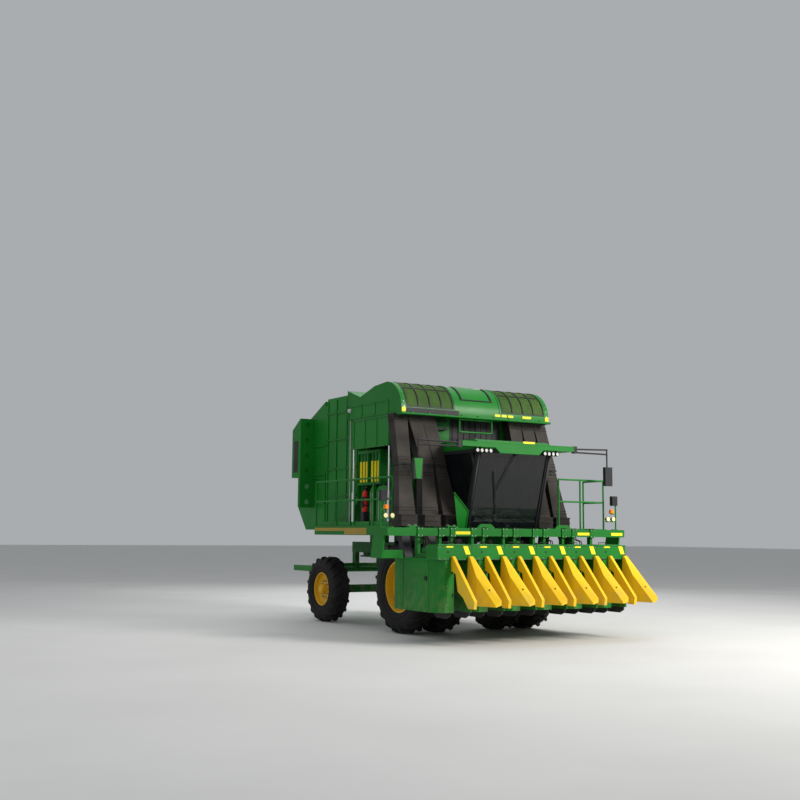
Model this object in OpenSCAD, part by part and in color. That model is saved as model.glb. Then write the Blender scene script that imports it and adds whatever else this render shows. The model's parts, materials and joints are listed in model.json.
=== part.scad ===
// Six-row cotton harvester that builds round modules, at its real size in millimetres.
// +Z is up, the machine faces -Y, its right-hand side is -X, and the ground is at Z 0.
// Inside the modules Y is measured from the drive axle; at_axle() moves it to the part's frame.

/* [Rows and header] */
// Distance between rows
row_pitch = 780; // [775:1:785]
// Open width a row of plants passes through
throat_w = 370; // [355:5:375]
// Height of the picking cabinets above the ground
unit_clear = 610; // [600:5:620]
// Height of a picking cabinet
cabinet_h = 990; // [975:5:1000]
// Height of the hood on each cabinet
hood_h = 280; // [270:5:290]
// Length of a picking cabinet, front to back
cabinet_l = 1580; // [1560:10:1600]
// Reach of the dividers in front of the cabinets
divider_reach = 780; // [740:10:800]
// Radius of a picking drum over its bars
drum_r = 150; // [140:2:154]
// Width across the header beam
beam_w = 6060; // [6000:20:6100]
// Height of the header beam's section
beam_h = 160; // [150:5:170]
// Depth of the header beam's section
beam_d = 150; // [140:5:155]

/* [Wheels] */
// Radius of a drive tyre
drive_r = 975; // [950:5:985]
// Width of a drive tyre
drive_w = 520; // [480:10:540]
// Radius of a drive rim
drive_rim_r = 545; // [530:5:560]
// Radius of a guide tyre
guide_r = 765; // [740:5:775]
// Width of a guide tyre
guide_w = 480; // [440:10:490]
// Radius of a guide rim
guide_rim_r = 390; // [380:5:400]
// Distance from the drive axle to the guide axle
wheelbase = 3600; // [3550:10:3640]

/* [Cab] */
// Width of the cab
cab_w = 1860; // [1800:10:1880]
// Height of the cab floor's underside
cab_z = 2100; // [2090:5:2120]
// Height of the cab's walls
cab_h = 1740; // [1700:10:1760]
// Thickness of the cab's walls and door
cab_t = 50; // [40:5:60]
// Height of the cab roof
roof_h = 200; // [190:5:220]
// Width over the cab roof
roof_w = 2880; // [2800:20:2920]

/* [Accumulator] */
// Width of the accumulator
acc_w = 3920; // [3880:10:3960]
// Height of the accumulator's top
acc_top = 5360; // [5330:5:5370]
// Radius of its curved front
acc_r = 660; // [640:5:670]
// Height of its lower box's underside
acc_low = 3970; // [3950:5:3990]
// Thickness of its walls
acc_t = 40; // [30:5:50]

/* [Module chamber] */
// Width over the chamber's side walls
chamber_w = 3140; // [3100:10:3180]
// Thickness of the side walls
chamber_t = 50; // [40:5:60]
// Height of the chamber's roof
chamber_top = 5340; // [5320:5:5350]
// Height of the chamber's underside
chamber_low = 2150; // [2130:10:2170]
// Width of the pod on each side of the gate
pod_w = 380; // [350:10:400]
// Length of the module handler
handler_l = 1840; // [1800:10:1860]

/* [Decks] */
// Height of the decks' top
deck_z = 2240; // [2230:5:2250]
// Half width out to the decks' edge
deck_x = 1970; // [1950:5:1990]
// Height of the handrails over the decks
rail_h = 1050; // [1000:10:1100]
// Radius of a handrail tube
rail_r = 19; // [16:1:22]

/* [Hidden] */
$fn = 48;
rows = 6;
gap = 6; // clearance between pieces that move past each other
run = 0.05; // radial clearance of a shaft in its bore
front_end = divider_reach + 2700; // reach in front of the drive axle
handler_y = 4460; // handler's pivot behind the drive axle
rear_end = handler_y + handler_l;
axle_y = (front_end - rear_end) / 2; // drive axle in the part's frame

unit_front = -2700; // front face of the cabinets
unit_back = unit_front + cabinet_l;
unit_top = unit_clear + cabinet_h;
hood_top = unit_top + hood_h;
hood_l = 400; // hood, front to back
hood_back = unit_front + hood_l;
plate_top = unit_top + 25; // plate over the whole cabinet
panel_t = 35; // side panel across the throat from the drum
unit_gap = 4; // left between neighbouring units
house_w = row_pitch - throat_w - panel_t - unit_gap; // drum housing's width
face_d = 300; // depth of the housing's facets
wall = 25; // housing's sheet walls
drum_y = unit_front + 330;
shaft_r = 30;
bar_n = 12; // bars round a drum
beam_y = -1720; // front face of the header beam
beam_z = hood_top + 170; // underside of the header beam
foot_z = 1610; // underside of the end plates' feet
lug_x = [-700, 1310]; // lift lugs on the beam
foot_x = -row_x(0) + throat_w / 2 + house_w + 34; // inner end of the end plates' feet
lift_y = 150; // header's pivot
lift_z = 1430;
lift_x = 230; // half distance between the lift arms
arm_w = 100;

rail_x = 290; // chassis rails' inner faces
rail_w = 110;
rail_z = 1620; // chassis rails' underside
rail_s = 260; // chassis rails' height
pivot_r = 50; // header's pivot shaft
handler_z = 1300; // handler's pivot
saddle_z = 1200; // drive axle's pads
chassis_front = -260;
chassis_back = handler_y + 100;
hitch_y = handler_y + 170; // tow pin
hub_r = 170;
stub_r = 90;
king_x = 1180; // kingpin's place on the guide axle
king_r = 45;
guide_x = 2 * row_pitch;
guide_stub_r = 50;

walk_z = 2225; // top of the landing in front of the ducts
cab_x = cab_w / 2;
cab_top = cab_z + cab_h;
cab_back = -60;
cab_foot = -1290; // foot of the windscreen
screen_lean = 500; // how far the windscreen's top leans forward
door_front = -1240; // door's hinge line
door_back = -700;
door_gap = 12; // round the door
pin_r = 8; // door's hinge pins
door_z0 = walk_z + 15;
door_z1 = cab_top - 70;
pillar = 70;
beacon_x = 700;
beacon_y = -800;
glass_t = 6;

acc_x = acc_w / 2;
arc_y = 240; // centre of the curved front
arc_z = acc_top - acc_r;
lip_z = acc_top - 720; // underside of the front lip
box_y0 = 80; // lower box, front and back
box_y1 = 1700;
rod_z = 3000; // top of the lift cylinders' barrels
acc_y1 = 2000;
screen_x0 = 640; // inner edge of each curved screen
panels = 4; // side by side in each screen
rib_w = 24;

cham_x = chamber_w / 2;
handler_x = cham_x - 320; // ends of the handler's shaft
cham_y0 = 2150;
split_y = 3750; // where the gate meets the fixed half
gate_y1 = 5350;
hinge_r = 30; // gate's hinge lugs
hinge_y = split_y + hinge_r + 10;
hinge_z = chamber_top - 60;
pod_y0 = 4460; // pods, front and back
pod_y1 = 4930;
pod_z0 = 3450;
pod_z1 = 4910;

deck_t = 60;
deck_y0 = -150;
deck_y1 = 3500;
deck_in = cham_x + 70;
walk_x = 2700;
walk_y0 = -1500;
walk_y1 = -740;
ladder_y = [1160, 1690]; // outer faces of the ladder's rails
ladder_pin = deck_z - 110;
outrigger_y = [-50, 1100, 2120];

// Ducts from the right-hand end: X at the top, at the band and at the foot.
duct_x = [
    [-1850, -1990, -2220],
    [-1505, -1420, -1660],
    [-1160, -1100, -1150],
    [1160, 1190, 1240],
    [1505, 1600, 1720],
    [1850, 2010, 2200]
];
duct_y = [[-60, -490, -1000], [-60, -300, -420]]; // Y at the same heights, on the right and on the left
duct_z = [lip_z, 3560, 2480]; // the three heights
duct_w = [310, 270, 390]; // width at each height
duct_d = 220;
boot_h = 240;
boot_w = 380;
boot_d = 400;
neck_x = [-350, -390, -460, 100, -60, -60]; // from each row to its neck's foot
knee_x = [-2243, -1631, -1063, 1040, 1510, 2040]; // knees below the cab's floor
knee_y = [-1005, -800]; // on the right and on the left
neck_back = 90; // how far the neck stands behind its boot's middle
neck_w = 180;
neck_d = 150;

// Row number i, from the right-hand end, has its plants at this X.
function row_x(i) = (i - (rows - 1) / 2) * row_pitch;

module at_axle() {
    translate([0, axle_y, 0]) children();
}

// A box between two X, two Y and two Z places.
module box(x, y, z) {
    translate([x[0], y[0], z[0]]) cube([x[1] - x[0], y[1] - y[0], z[1] - z[0]]);
}

// A flat outline in Y and Z, as thick as the two X places say.
module side_plate(x) {
    translate([x[0], 0, 0]) rotate([90, 0, 90]) linear_extrude(x[1] - x[0]) children();
}

// A flat outline in X and Z, as thick as the two Y places say.
module front_plate(y) {
    translate([0, y[1], 0]) rotate([90, 0, 0]) linear_extrude(y[1] - y[0]) children();
}

// A round bar along X.
module x_bar(x, y, z, r) {
    translate([x[0], y, z]) rotate([0, 90, 0]) cylinder(h = x[1] - x[0], r = r);
}

// A round bar between two points.
module rod(a, b, r) {
    d = b - a;
    l = norm(d);
    translate(a) rotate([0, acos(d[2] / l), atan2(d[1], d[0])]) cylinder(h = l, r = r, $fn = 24);
}

// The same thing on both sides of the machine.
module both_sides() {
    children();
    mirror([1, 0, 0]) children();
}

module chassis() {
    color("darkgreen") at_axle() {
        both_sides() box([rail_x, rail_x + rail_w], [chassis_front, chassis_back], [rail_z, rail_z + rail_s]);
        for (y = [chassis_front, 1300, 2400, chassis_back - 140])
            box([-rail_x, rail_x], [y, y + 140], [rail_z + 40, rail_z + rail_s - 40]);
        // Hangers that carry the header's pivot
        both_sides() difference() {
            box([rail_x + 15, rail_x + rail_w - 15], [lift_y - 110, lift_y + 110], [lift_z - 110, rail_z]);
            x_bar([rail_x, rail_x + rail_w], lift_y, lift_z, pivot_r + run);
        }
        // Saddles on the drive axle
        both_sides() box([rail_x + 10, rail_x + rail_w - 10], [-150, 10], [saddle_z, rail_z]);
        // Drop leg to the guide axle
        both_sides() box([220, rail_x], [wheelbase - 70, wheelbase + 70], [rail_z + 40, rail_z + 160]);
        box([-220, 220], [wheelbase - 160, wheelbase + 160], [rail_z - 120, rail_z + 160]);
        // Cradle under the cab
        both_sides() {
            box([rail_x, rail_x + rail_w], [-1150, -60], [cab_z - 110, cab_z]);
            box([rail_x, rail_x + rail_w], [chassis_front, -60], [rail_z + rail_s, cab_z - 110]);
            side_plate([rail_x, rail_x + rail_w]) polygon([
                [chassis_front, rail_z], [chassis_front, rail_z + rail_s], [chassis_front, cab_z - 110],
                [-1000, cab_z - 110]
            ]);
        }
        // Brackets for the handler's pivot
        both_sides() difference() {
            box([rail_x, rail_x + rail_w], [handler_y - 80, handler_y + 80], [handler_z - 80, rail_z]);
            x_bar([rail_x - 1, rail_x + rail_w + 1], handler_y, handler_z, 55 + run);
        }
        // Tow hitch between the rails, its pin behind the handler's pivot
        difference() {
            box([-90, 90], [chassis_back - 300, hitch_y + 70], [rail_z - 120, rail_z + 40]);
            translate([0, hitch_y, rail_z - 130]) cylinder(h = 200, r = 25);
            box([-91, 91], [hitch_y - 90, hitch_y + 71], [rail_z - 80, rail_z - 10]);
        }
    }
}

module drive_axle() {
    color("darkgreen") at_axle() {
        translate([0, 0, drive_r]) {
            x_bar([-460, 460], 0, 0, 145);
            both_sides() {
                x_bar([420, 500], 0, 0, 230);
                x_bar([500, row_pitch + 130], 0, 0, stub_r);
            }
        }
        both_sides() box([rail_x + 5, rail_x + rail_w - 5], [-155, 15], [drive_r + 60, saddle_z]);
    }
}

module guide_axle() {
    color("darkgreen") at_axle() translate([0, wheelbase, guide_r]) {
        difference() {
            union() {
                box([-king_x, king_x], [-90, 90], [-90, 90]);
                both_sides() translate([king_x, 0, -110]) cylinder(h = 220, r = 85);
            }
            both_sides() translate([king_x, 0, -120]) cylinder(h = 240, r = king_r + run);
        }
        box([-120, 120], [-130, 130], [90, rail_z - 120 - guide_r]);
    }
}

module engine() {
    color("dimgray") at_axle() {
        z = rail_z + rail_s + 1020;
        box([-400, 400], [420, 1800], [rail_z + rail_s, z]);
        box([-300, 300], [500, 1700], [z, z + 220]);
        for (i = [0 : 5]) x_bar([400, 520], 600 + i * 200, z - 200, 45);
    }
}

module cooling_pack() {
    x = [700, 1560];
    y = [620, 1640];
    z = [deck_z, deck_z + 1520];
    color("green") at_axle() {
        // The cores are a block behind the recess of the grille
        difference() {
            box(x, y, z);
            box([x[1] - 70, x[1] + 1], [y[0] + 60, y[1] - 60], [z[0] + 120, z[1] - 80]);
        }
        for (i = [0 : 9]) box([x[1] - 71, x[1] - 20], [y[0] + 60, y[1] - 60],
            [z[0] + 180 + i * 120, z[0] + 210 + i * 120]);
        // Sill down to the engine deck
        box([x[0], 1200], [y[0] + 60, y[1] - 60], [deck_z - deck_t, z[0]]);
    }
}

function cab_side(grow) = [
    [cab_foot - grow, cab_z], [cab_foot - screen_lean - grow, cab_top],
    [cab_back, cab_top], [cab_back, cab_z]
];
// Y of the windscreen's line at a height.
function screen_y(z) = cab_foot - screen_lean * (z - cab_z) / cab_h;

module door_pin_at(z) {
    translate([cab_x - 14, door_front + 18, z]) children();
}

module cab_frame() {
    z0 = cab_z + 90;
    z1 = cab_top - 70;
    color("darkslategray") at_axle() difference() {
        side_plate([-cab_x, cab_x]) polygon(cab_side(0));
        // Hollow inside
        side_plate([-cab_x + cab_t, cab_x - cab_t]) polygon([
            [screen_y(cab_z + 60) + cab_t, cab_z + 60], [screen_y(cab_top) + cab_t, cab_top + 1],
            [cab_back - cab_t, cab_top + 1], [cab_back - cab_t, cab_z + 60]
        ]);
        // Windscreen
        front_plate([cab_foot - screen_lean - 1, cab_foot + 100])
            polygon([[-cab_x + pillar, z0], [cab_x - pillar, z0], [cab_x - pillar, z1],
                [-cab_x + pillar, z1]]);
        // Rear window
        box([-cab_x + 200, cab_x - 200], [cab_back - 100, cab_back + 1], [cab_z + 700, z1]);
        // Right-hand window
        side_plate([-cab_x - 1, -cab_x + cab_t + 1]) polygon([
            [screen_y(z0) + pillar + 30, z0], [screen_y(z1) + pillar + 30, z1],
            [cab_back - pillar, z1], [cab_back - pillar, z0]
        ]);
        // Door opening and the windows before and behind it
        box([cab_x - cab_t - 1, cab_x + 1], [door_front - door_gap, door_back + door_gap],
            [door_z0 - gap, door_z1 + gap]);
        side_plate([cab_x - cab_t - 1, cab_x + 1]) polygon([
            [door_front - pillar, z0 + 260], [screen_y(z1) + pillar + 30, z1], [door_front - pillar, z1]
        ]);
        box([cab_x - cab_t - 1, cab_x + 1], [door_back + pillar, cab_back - pillar], [z0 + 500, z1]);
        // Bores for the door's hinge pins
        for (z = [door_z0 - 41, door_z1]) door_pin_at(z) cylinder(h = 41, r = pin_r + run);
    }
}

module cab_roof() {
    color("green") at_axle() {
        top = cab_top + roof_h;
        front = cab_foot - screen_lean - 100;
        side_plate([-cab_x - 10, cab_x + 10]) polygon([
            [front - 20, cab_top], [front - 20, top - 90], [front + 260, top], [cab_back - 150, top],
            [cab_back, top - 70], [cab_back, cab_top]
        ]);
        box([-roof_w / 2 + 20, roof_w / 2 - 20], [front, front + 260], [cab_top + 20, top - 70]);
        // Visor with its lower middle
        front_plate([front - 60, front]) polygon([
            [-roof_w / 2, cab_top + 20], [-roof_w / 2, top - 70], [roof_w / 2, top - 70],
            [roof_w / 2, cab_top + 20], [620, cab_top + 20], [500, cab_top - 90],
            [-500, cab_top - 90], [-620, cab_top + 20]
        ]);
        both_sides() box([roof_w / 2 - 60, roof_w / 2], [front, front + 500], [cab_top + 20, top - 70]);
        // Pad that takes a beacon
        translate([-beacon_x, beacon_y, top]) cylinder(h = 15, r = 60);
    }
}

module cab_glass() {
    z0 = cab_z + 90;
    z1 = cab_top - 70;
    color("black", 0.4) at_axle() {
        // Windscreen
        side_plate([-cab_x + pillar, cab_x - pillar]) polygon([
            [screen_y(z0) + 12, z0], [screen_y(z1) + 12, z1], [screen_y(z1) + 12 + glass_t, z1],
            [screen_y(z0) + 12 + glass_t, z0]
        ]);
        side_plate([-cab_x + 10, -cab_x + 10 + glass_t]) polygon([
            [screen_y(z0) + pillar + 30, z0], [screen_y(z1) + pillar + 30, z1],
            [cab_back - pillar, z1], [cab_back - pillar, z0]
        ]);
        side_plate([cab_x - 10 - glass_t, cab_x - 10]) polygon([
            [door_front - pillar, z0 + 260], [screen_y(z1) + pillar + 30, z1], [door_front - pillar, z1]
        ]);
        box([cab_x - 10 - glass_t, cab_x - 10], [door_back + pillar, cab_back - pillar], [z0 + 500, z1]);
        box([-cab_x + 200, cab_x - 200], [cab_back - 30, cab_back - 30 + glass_t], [cab_z + 700, z1]);
    }
}

module cab_interior() {
    floor_z = cab_z + 60;
    color("dimgray") at_axle() {
        // Seat on its pedestal
        box([-180, 180], [-700, -340], [floor_z, floor_z + 320]);
        box([-260, 260], [-820, -280], [floor_z + 320, floor_z + 440]);
        side_plate([-250, 250]) polygon([
            [-380, floor_z + 440], [-280, floor_z + 1120], [-180, floor_z + 1120], [-280, floor_z + 440]
        ]);
        // Steering column and wheel
        side_plate([-60, 60]) polygon([
            [-1160, floor_z], [-1050, floor_z + 640], [-970, floor_z + 640], [-1020, floor_z]
        ]);
        translate([0, -1010, floor_z + 640]) rotate([-20, 0, 0])
            rotate_extrude() translate([190, 0]) circle(r = 16, $fn = 24);
        translate([0, -1010, floor_z + 640]) rotate([-20, 0, 0]) cylinder(h = 16, r = 60, center = true);
        translate([0, -1010, floor_z + 640]) rotate([-20, 0, 0]) for (a = [0, 120, 240])
            rotate([0, 0, a]) translate([50, -15, -8]) cube([128, 30, 14]);
        // Armrest console on the right
        box([-520, -320], [-1000, -300], [floor_z, floor_z + 560]);
    }
}

module cab_door() {
    color("darkslategray") at_axle() {
        difference() {
            box([cab_x - cab_t, cab_x], [door_front, door_back], [door_z0, door_z1]);
            box([cab_x - cab_t - 1, cab_x + 1], [door_front + pillar, door_back - pillar],
                [door_z0 + 260, door_z1 - pillar]);
        }
        // Hinge pins into the sill and the header rail
        for (z = [door_z0 - 40, door_z1]) door_pin_at(z) cylinder(h = 40, r = pin_r);
        box([cab_x, cab_x + 40], [door_back - 60, door_back - 30], [door_z0 + 380, door_z0 + 620]);
    }
}

module door_glass() {
    color("black", 0.4) at_axle() box([cab_x - 30, cab_x - 30 + glass_t],
        [door_front + pillar, door_back - pillar], [door_z0 + 260, door_z1 - pillar]);
}

// Which side of the machine row i is on, 0 for the right-hand side.
function side(i) = i < rows / 2 ? 0 : 1;

// One straight length of duct i, from height k down to the next.
module duct_length(i, k, grow) {
    d = duct_d + grow;
    y = duct_y[side(i)];
    hull() for (e = [k, k + 1]) {
        w = duct_w[e] + grow;
        box([duct_x[i][e] - w / 2, duct_x[i][e] + w / 2], [y[e] - d / 2, y[e] + d / 2],
            [duct_z[e] - (e == k ? 1 : 0), duct_z[e] + (e == k ? 0 : 1)]);
    }
}

module ducts() {
    z = duct_z[2];
    color("black") at_axle() for (i = [0 : rows - 1]) {
        duct_length(i, 0, 30);
        duct_length(i, 1, 0);
        // Open boot over the neck of its row unit
        translate([duct_x[i][2], duct_y[side(i)][2], 0]) difference() {
            box([-boot_w / 2, boot_w / 2], [-boot_d / 2, boot_d / 2], [z - boot_h, z + 1]);
            box([-boot_w / 2 + 15, boot_w / 2 - 15], [-boot_d / 2 + 15, boot_d / 2 - 15],
                [z - boot_h - 1, z - 15]);
        }
    }
}

// Outline of the accumulator in Y and Z, taken in by a wall's thickness.
module hood_outline(t) {
    r = acc_r - t;
    intersection() {
        translate([arc_y, arc_z]) circle(r = r, $fn = 96);
        translate([arc_y - acc_r, arc_z]) square([acc_r, acc_r]);
    }
    translate([arc_y - r, lip_z + t]) square([r, arc_z - lip_z - t]);
    polygon([
        [arc_y, lip_z + t], [arc_y, acc_top - t], [760, acc_top - 40 - t], [1400, acc_top - 220 - t],
        [acc_y1 - t, acc_top - 20 - t], [acc_y1 - t, lip_z + t]
    ]);
}

module accumulator() {
    color("green") at_axle() {
        difference() {
            side_plate([-acc_x, acc_x]) hood_outline(0);
            side_plate([-acc_x + acc_t, acc_x - acc_t]) hood_outline(acc_t);
            // Windows of the curved screens
            both_sides() intersection() {
                box([screen_x0, acc_x - 120], [arc_y - acc_r - 1, arc_y + 60], [lip_z + 130, acc_top + 1]);
                side_plate([0, acc_x]) difference() {
                    translate([arc_y - acc_r - 1, lip_z + 130]) square([acc_r + 61, acc_top]);
                    translate([arc_y, arc_z]) circle(r = acc_r - acc_t - 20);
                }
            }
            // The way down into the lower box
            box([-acc_x + acc_t, acc_x - acc_t], [box_y0 + acc_t, box_y1 - acc_t],
                [lip_z - 1, lip_z + acc_t + 1]);
            // The way back to the chamber
            box([-cham_x + 200, cham_x - 200], [acc_y1 - acc_t - 1, acc_y1 + 1], [lip_z + 80, acc_top - 260]);
        }
        // Lower box, open below
        difference() {
            box([-acc_x, acc_x], [box_y0, box_y1], [acc_low, lip_z]);
            box([-acc_x + acc_t, acc_x - acc_t], [box_y0 + acc_t, box_y1 - acc_t], [acc_low - 1, lip_z + 1]);
        }
        // Lid on the crest
        box([-330, 330], [arc_y, arc_y + 420], [acc_top - 30, acc_top + 20]);
        // Tube frame under the lip
        for (x = [-430, 430]) rod([x, -330, lip_z + 20], [x, -330, lip_z - 330], 20);
        for (z = [lip_z - 330, lip_z - 60]) rod([-430, -330, z], [430, -330, z], 20);
    }
}

// A band round the curved front, cut to the window's height.
module screen_band(x, r0, r1) {
    intersection() {
        side_plate(x) difference() {
            translate([arc_y, arc_z]) circle(r = r1);
            translate([arc_y, arc_z]) circle(r = r0);
        }
        box([0, acc_x], [arc_y - acc_r - 20, arc_y + 60], [lip_z + 130, acc_top + 20]);
    }
}

module curved_screens() {
    w = acc_x - 120 - screen_x0;
    color("olivedrab") at_axle() both_sides() {
        screen_band([screen_x0, screen_x0 + w], acc_r - 22, acc_r - 12);
        // Ribs that part it into panels
        for (k = [0 : panels]) translate([k * (w - rib_w) / panels, 0, 0])
            screen_band([screen_x0, screen_x0 + rib_w], acc_r - 14, acc_r + 4);
        translate([screen_x0, arc_y, arc_z]) rotate([-50, 0, 0])
            box([0, w], [-acc_r - 4, -acc_r + 14], [-rib_w / 2, rib_w / 2]);
    }
}

module lift_rods() {
    // The front ones stand under the lower box, the rear ones behind it
    color("silver") at_axle() both_sides() for (p = [[box_y0 + 80, acc_low], [box_y1 + 45, lip_z]])
        translate([acc_x - 45, p[0], 0]) {
            translate([0, 0, rod_z]) cylinder(h = p[1] - rod_z, r = 22);
            translate([0, 0, deck_z]) cylinder(h = rod_z - deck_z, r = 40);
        }
}

module feeder_box() {
    x0 = -cham_x - 30;
    y = [1100, 2140];
    z = [acc_low - 790, acc_low];
    color("darkgreen") at_axle() {
        difference() {
            box([x0, x0 + 900], y, z);
            for (k = [0, 1]) box([x0 - 1, x0 + 200], [y[0] + 60 + k * 520, y[0] + 540 + k * 520],
                [z[0] + 60, z[1] - 70]);
            box([x0 + 200, x0 + 901], [y[0] + 50, y[1] - 50], [z[0] + 50, z[1] - 50]);
        }
        // Slats in the two windows
        for (k = [0, 1]) for (i = [0 : 2])
            box([x0 + 50, x0 + 130], [y[0] + 100 + k * 520 + i * 140, y[0] + 190 + k * 520 + i * 140],
                [z[0] + 60, z[1] - 70]);
        // Legs to the deck's outriggers
        for (k = y) box([x0 + 100, x0 + 180], [k == y[0] ? k : k - 80, k == y[0] ? k + 80 : k],
            [deck_z - deck_t, z[0]]);
    }
}

module chamber() {
    color("darkgreen") at_axle() {
        difference() {
            side_plate([-cham_x, cham_x]) polygon([
                [cham_y0, chamber_low + 700], [cham_y0, chamber_top - 260], [cham_y0 + 200, chamber_top],
                [split_y, chamber_top], [split_y, chamber_low], [cham_y0 + 700, chamber_low]
            ]);
            side_plate([-cham_x + chamber_t, cham_x - chamber_t]) polygon([
                [cham_y0 + chamber_t, chamber_low + 740], [cham_y0 + chamber_t, chamber_top - 300],
                [cham_y0 + 230, chamber_top - chamber_t], [split_y + 1, chamber_top - chamber_t],
                [split_y + 1, chamber_low + chamber_t], [cham_y0 + 730, chamber_low + chamber_t]
            ]);
            // Mouth that the feeder belts fill through
            box([-cham_x + 200, cham_x - 200], [cham_y0 - 1, cham_y0 + chamber_t + 1],
                [chamber_low + 1150, chamber_top - 840]);
        }
        // Ears for the gate's hinge
        both_sides() difference() {
            box([cham_x - 300, cham_x - 240], [split_y, split_y + 70], [chamber_top - 110, chamber_top]);
            x_bar([cham_x - 310, cham_x - 230], hinge_y, hinge_z, hinge_r / 2 + run);
        }
        // Feet on the chassis rails
        for (y = [cham_y0 + 760, split_y - 260]) both_sides()
            box([rail_x, rail_x + rail_w], [y, y + 160], [rail_z + rail_s, chamber_low]);
    }
}

module chamber_belts() {
    belt = [split_y + 150, (chamber_top + chamber_low) / 2 - 5]; // middle of the round module
    r = (chamber_top - chamber_low) / 2 - 415;
    color("khaki") at_axle() {
        for (i = [-3 : 3]) side_plate([i * 360 - 160, i * 360 + 160]) difference() {
            translate(belt) circle(r = r, $fn = 120);
            translate(belt) circle(r = r - 20, $fn = 120);
            translate([split_y - 20, belt[1] - r]) square(2 * r);
        }
        for (a = [110, 145, 180, 215, 250])
            x_bar([-cham_x + chamber_t, cham_x - chamber_t],
                belt[0] + (r + 10) * cos(a), belt[1] + (r + 10) * sin(a), 45);
    }
}

module decks() {
    color("green") at_axle() {
        both_sides() box([deck_in, deck_x], [deck_y0, deck_y1], [deck_z - deck_t, deck_z]);
        // Landing beside the door, in front of the ducts
        box([cab_x, walk_x], [walk_y0, walk_y1], [walk_z - 50, walk_z]);
        // Deep outer channels
        both_sides() box([deck_x, deck_x + 30], [deck_y0, deck_y1], [deck_z - 190, deck_z + 20]);
        // Outriggers on the chassis
        for (y = outrigger_y) both_sides() {
            box([rail_x + rail_w, deck_x], [y, y + 100], [deck_z - deck_t - 100, deck_z - deck_t]);
            box([rail_x + rail_w, rail_x + rail_w + 60], [y, y + 100], [rail_z + 60, deck_z - deck_t - 100]);
        }
        // Lugs for the ladder's pins
        for (y = [ladder_y[0] - 60, ladder_y[1] + 10]) difference() {
            box([deck_x + 30, deck_x + 110], [y, y + 50], [ladder_pin - 45, ladder_pin + 45]);
            translate([deck_x + 75, y - 1, ladder_pin]) rotate([-90, 0, 0]) cylinder(h = 52, r = 12 + run);
        }
    }
}

// Rails along a run of posts in plan, between two heights.
module rail_run(points, z0, z1) {
    for (p = points) rod([p[0], p[1], z0], [p[0], p[1], z1], rail_r);
    for (i = [0 : len(points) - 2]) for (z = [z1, z0 + (z1 - z0) * 0.55])
        rod([points[i][0], points[i][1], z], [points[i + 1][0], points[i + 1][1], z], rail_r);
}

module handrails() {
    x = deck_x + 15;
    z0 = deck_z + 20;
    z1 = deck_z + rail_h;
    wx = walk_x - 40;
    color("green") at_axle() {
        rail_run([[-x, deck_y0 + 40], [-x, 700], [-x, 1560], [-x, 2420], [-x, deck_y1 - 40]], z0, z1);
        rail_run([[x, 1800], [x, 2600], [x, deck_y1 - 40]], z0, z1);
        rail_run([[x, 1000], [x, 300], [x, deck_y0 + 40]], z0, z1);
        rail_run([[wx, walk_y1 - 40], [wx, walk_y0 + 40], [2000, walk_y0 + 40], [1400, walk_y0 + 40]],
            walk_z, z1);
    }
}

module ladder() {
    x = deck_x + 75;
    y = ladder_y;
    color("green") at_axle() {
        for (k = [y[0], y[1] - 50]) box([x - 25, x + 25], [k, k + 50], [480, ladder_pin + 25]);
        for (k = [0 : 4]) box([x - 25, x + 65], [y[0] + 50, y[1] - 50], [520 + k * 330, 550 + k * 330]);
        for (k = [y[0] - 60, y[1]]) translate([x, k, ladder_pin]) rotate([-90, 0, 0]) cylinder(h = 60,
            r = 12);
    }
}

module tanks() {
    x1 = deck_x - 90; // the tanks stand this far in from the deck's edge
    color("green") at_axle() {
        // Water tank in two lobes on the right-hand deck
        for (y = [[300, 760], [860, 1060]]) hull() {
            box([-x1, -x1 + 220], y, [deck_z, deck_z + 760]);
            box([-x1 + 30, -x1 + 190], [y[0] + 60, y[1] - 60], [deck_z + 760, deck_z + 880]);
        }
        box([-x1 + 30, -x1 + 190], [760, 860], [deck_z, deck_z + 240]);
        // Fuel tank on the left-hand deck
        box([deck_in, x1], [2100, 3400], [deck_z, deck_z + 620]);
    }
}

module mirrors() {
    mirror_x = 2440;
    z = cab_top + roof_h - 120;
    y = cab_foot - screen_lean - 130;
    color("dimgray") at_axle() both_sides() {
        box([roof_w / 2, roof_w / 2 + 90], [y - 20, y + 60], [z - 90, z + 60]);
        rod([roof_w / 2 + 90, y, z], [mirror_x, y + 60, z + 30], 18);
        rod([roof_w / 2 + 90, y, z - 70], [mirror_x, y + 60, z - 70], 18);
        rod([mirror_x - 10, y + 60, z + 46], [mirror_x - 10, y + 60, z - 350], 16);
        box([mirror_x - 90, mirror_x + 110], [y + 20, y + 100], [z - 760, z - 350]);
    }
}

module lamps() {
    y = cab_foot - screen_lean - 100;
    color("white") at_axle() both_sides() {
        for (i = [0 : 3]) translate([700 + i * 110, y + 90, cab_top - 46]) {
            rotate([90, 0, 0]) cylinder(h = 90, r = 44);
            translate([-15, -70, 0]) cube([30, 50, i < 3 ? 46 : 66]);
        }
    }
}

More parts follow.
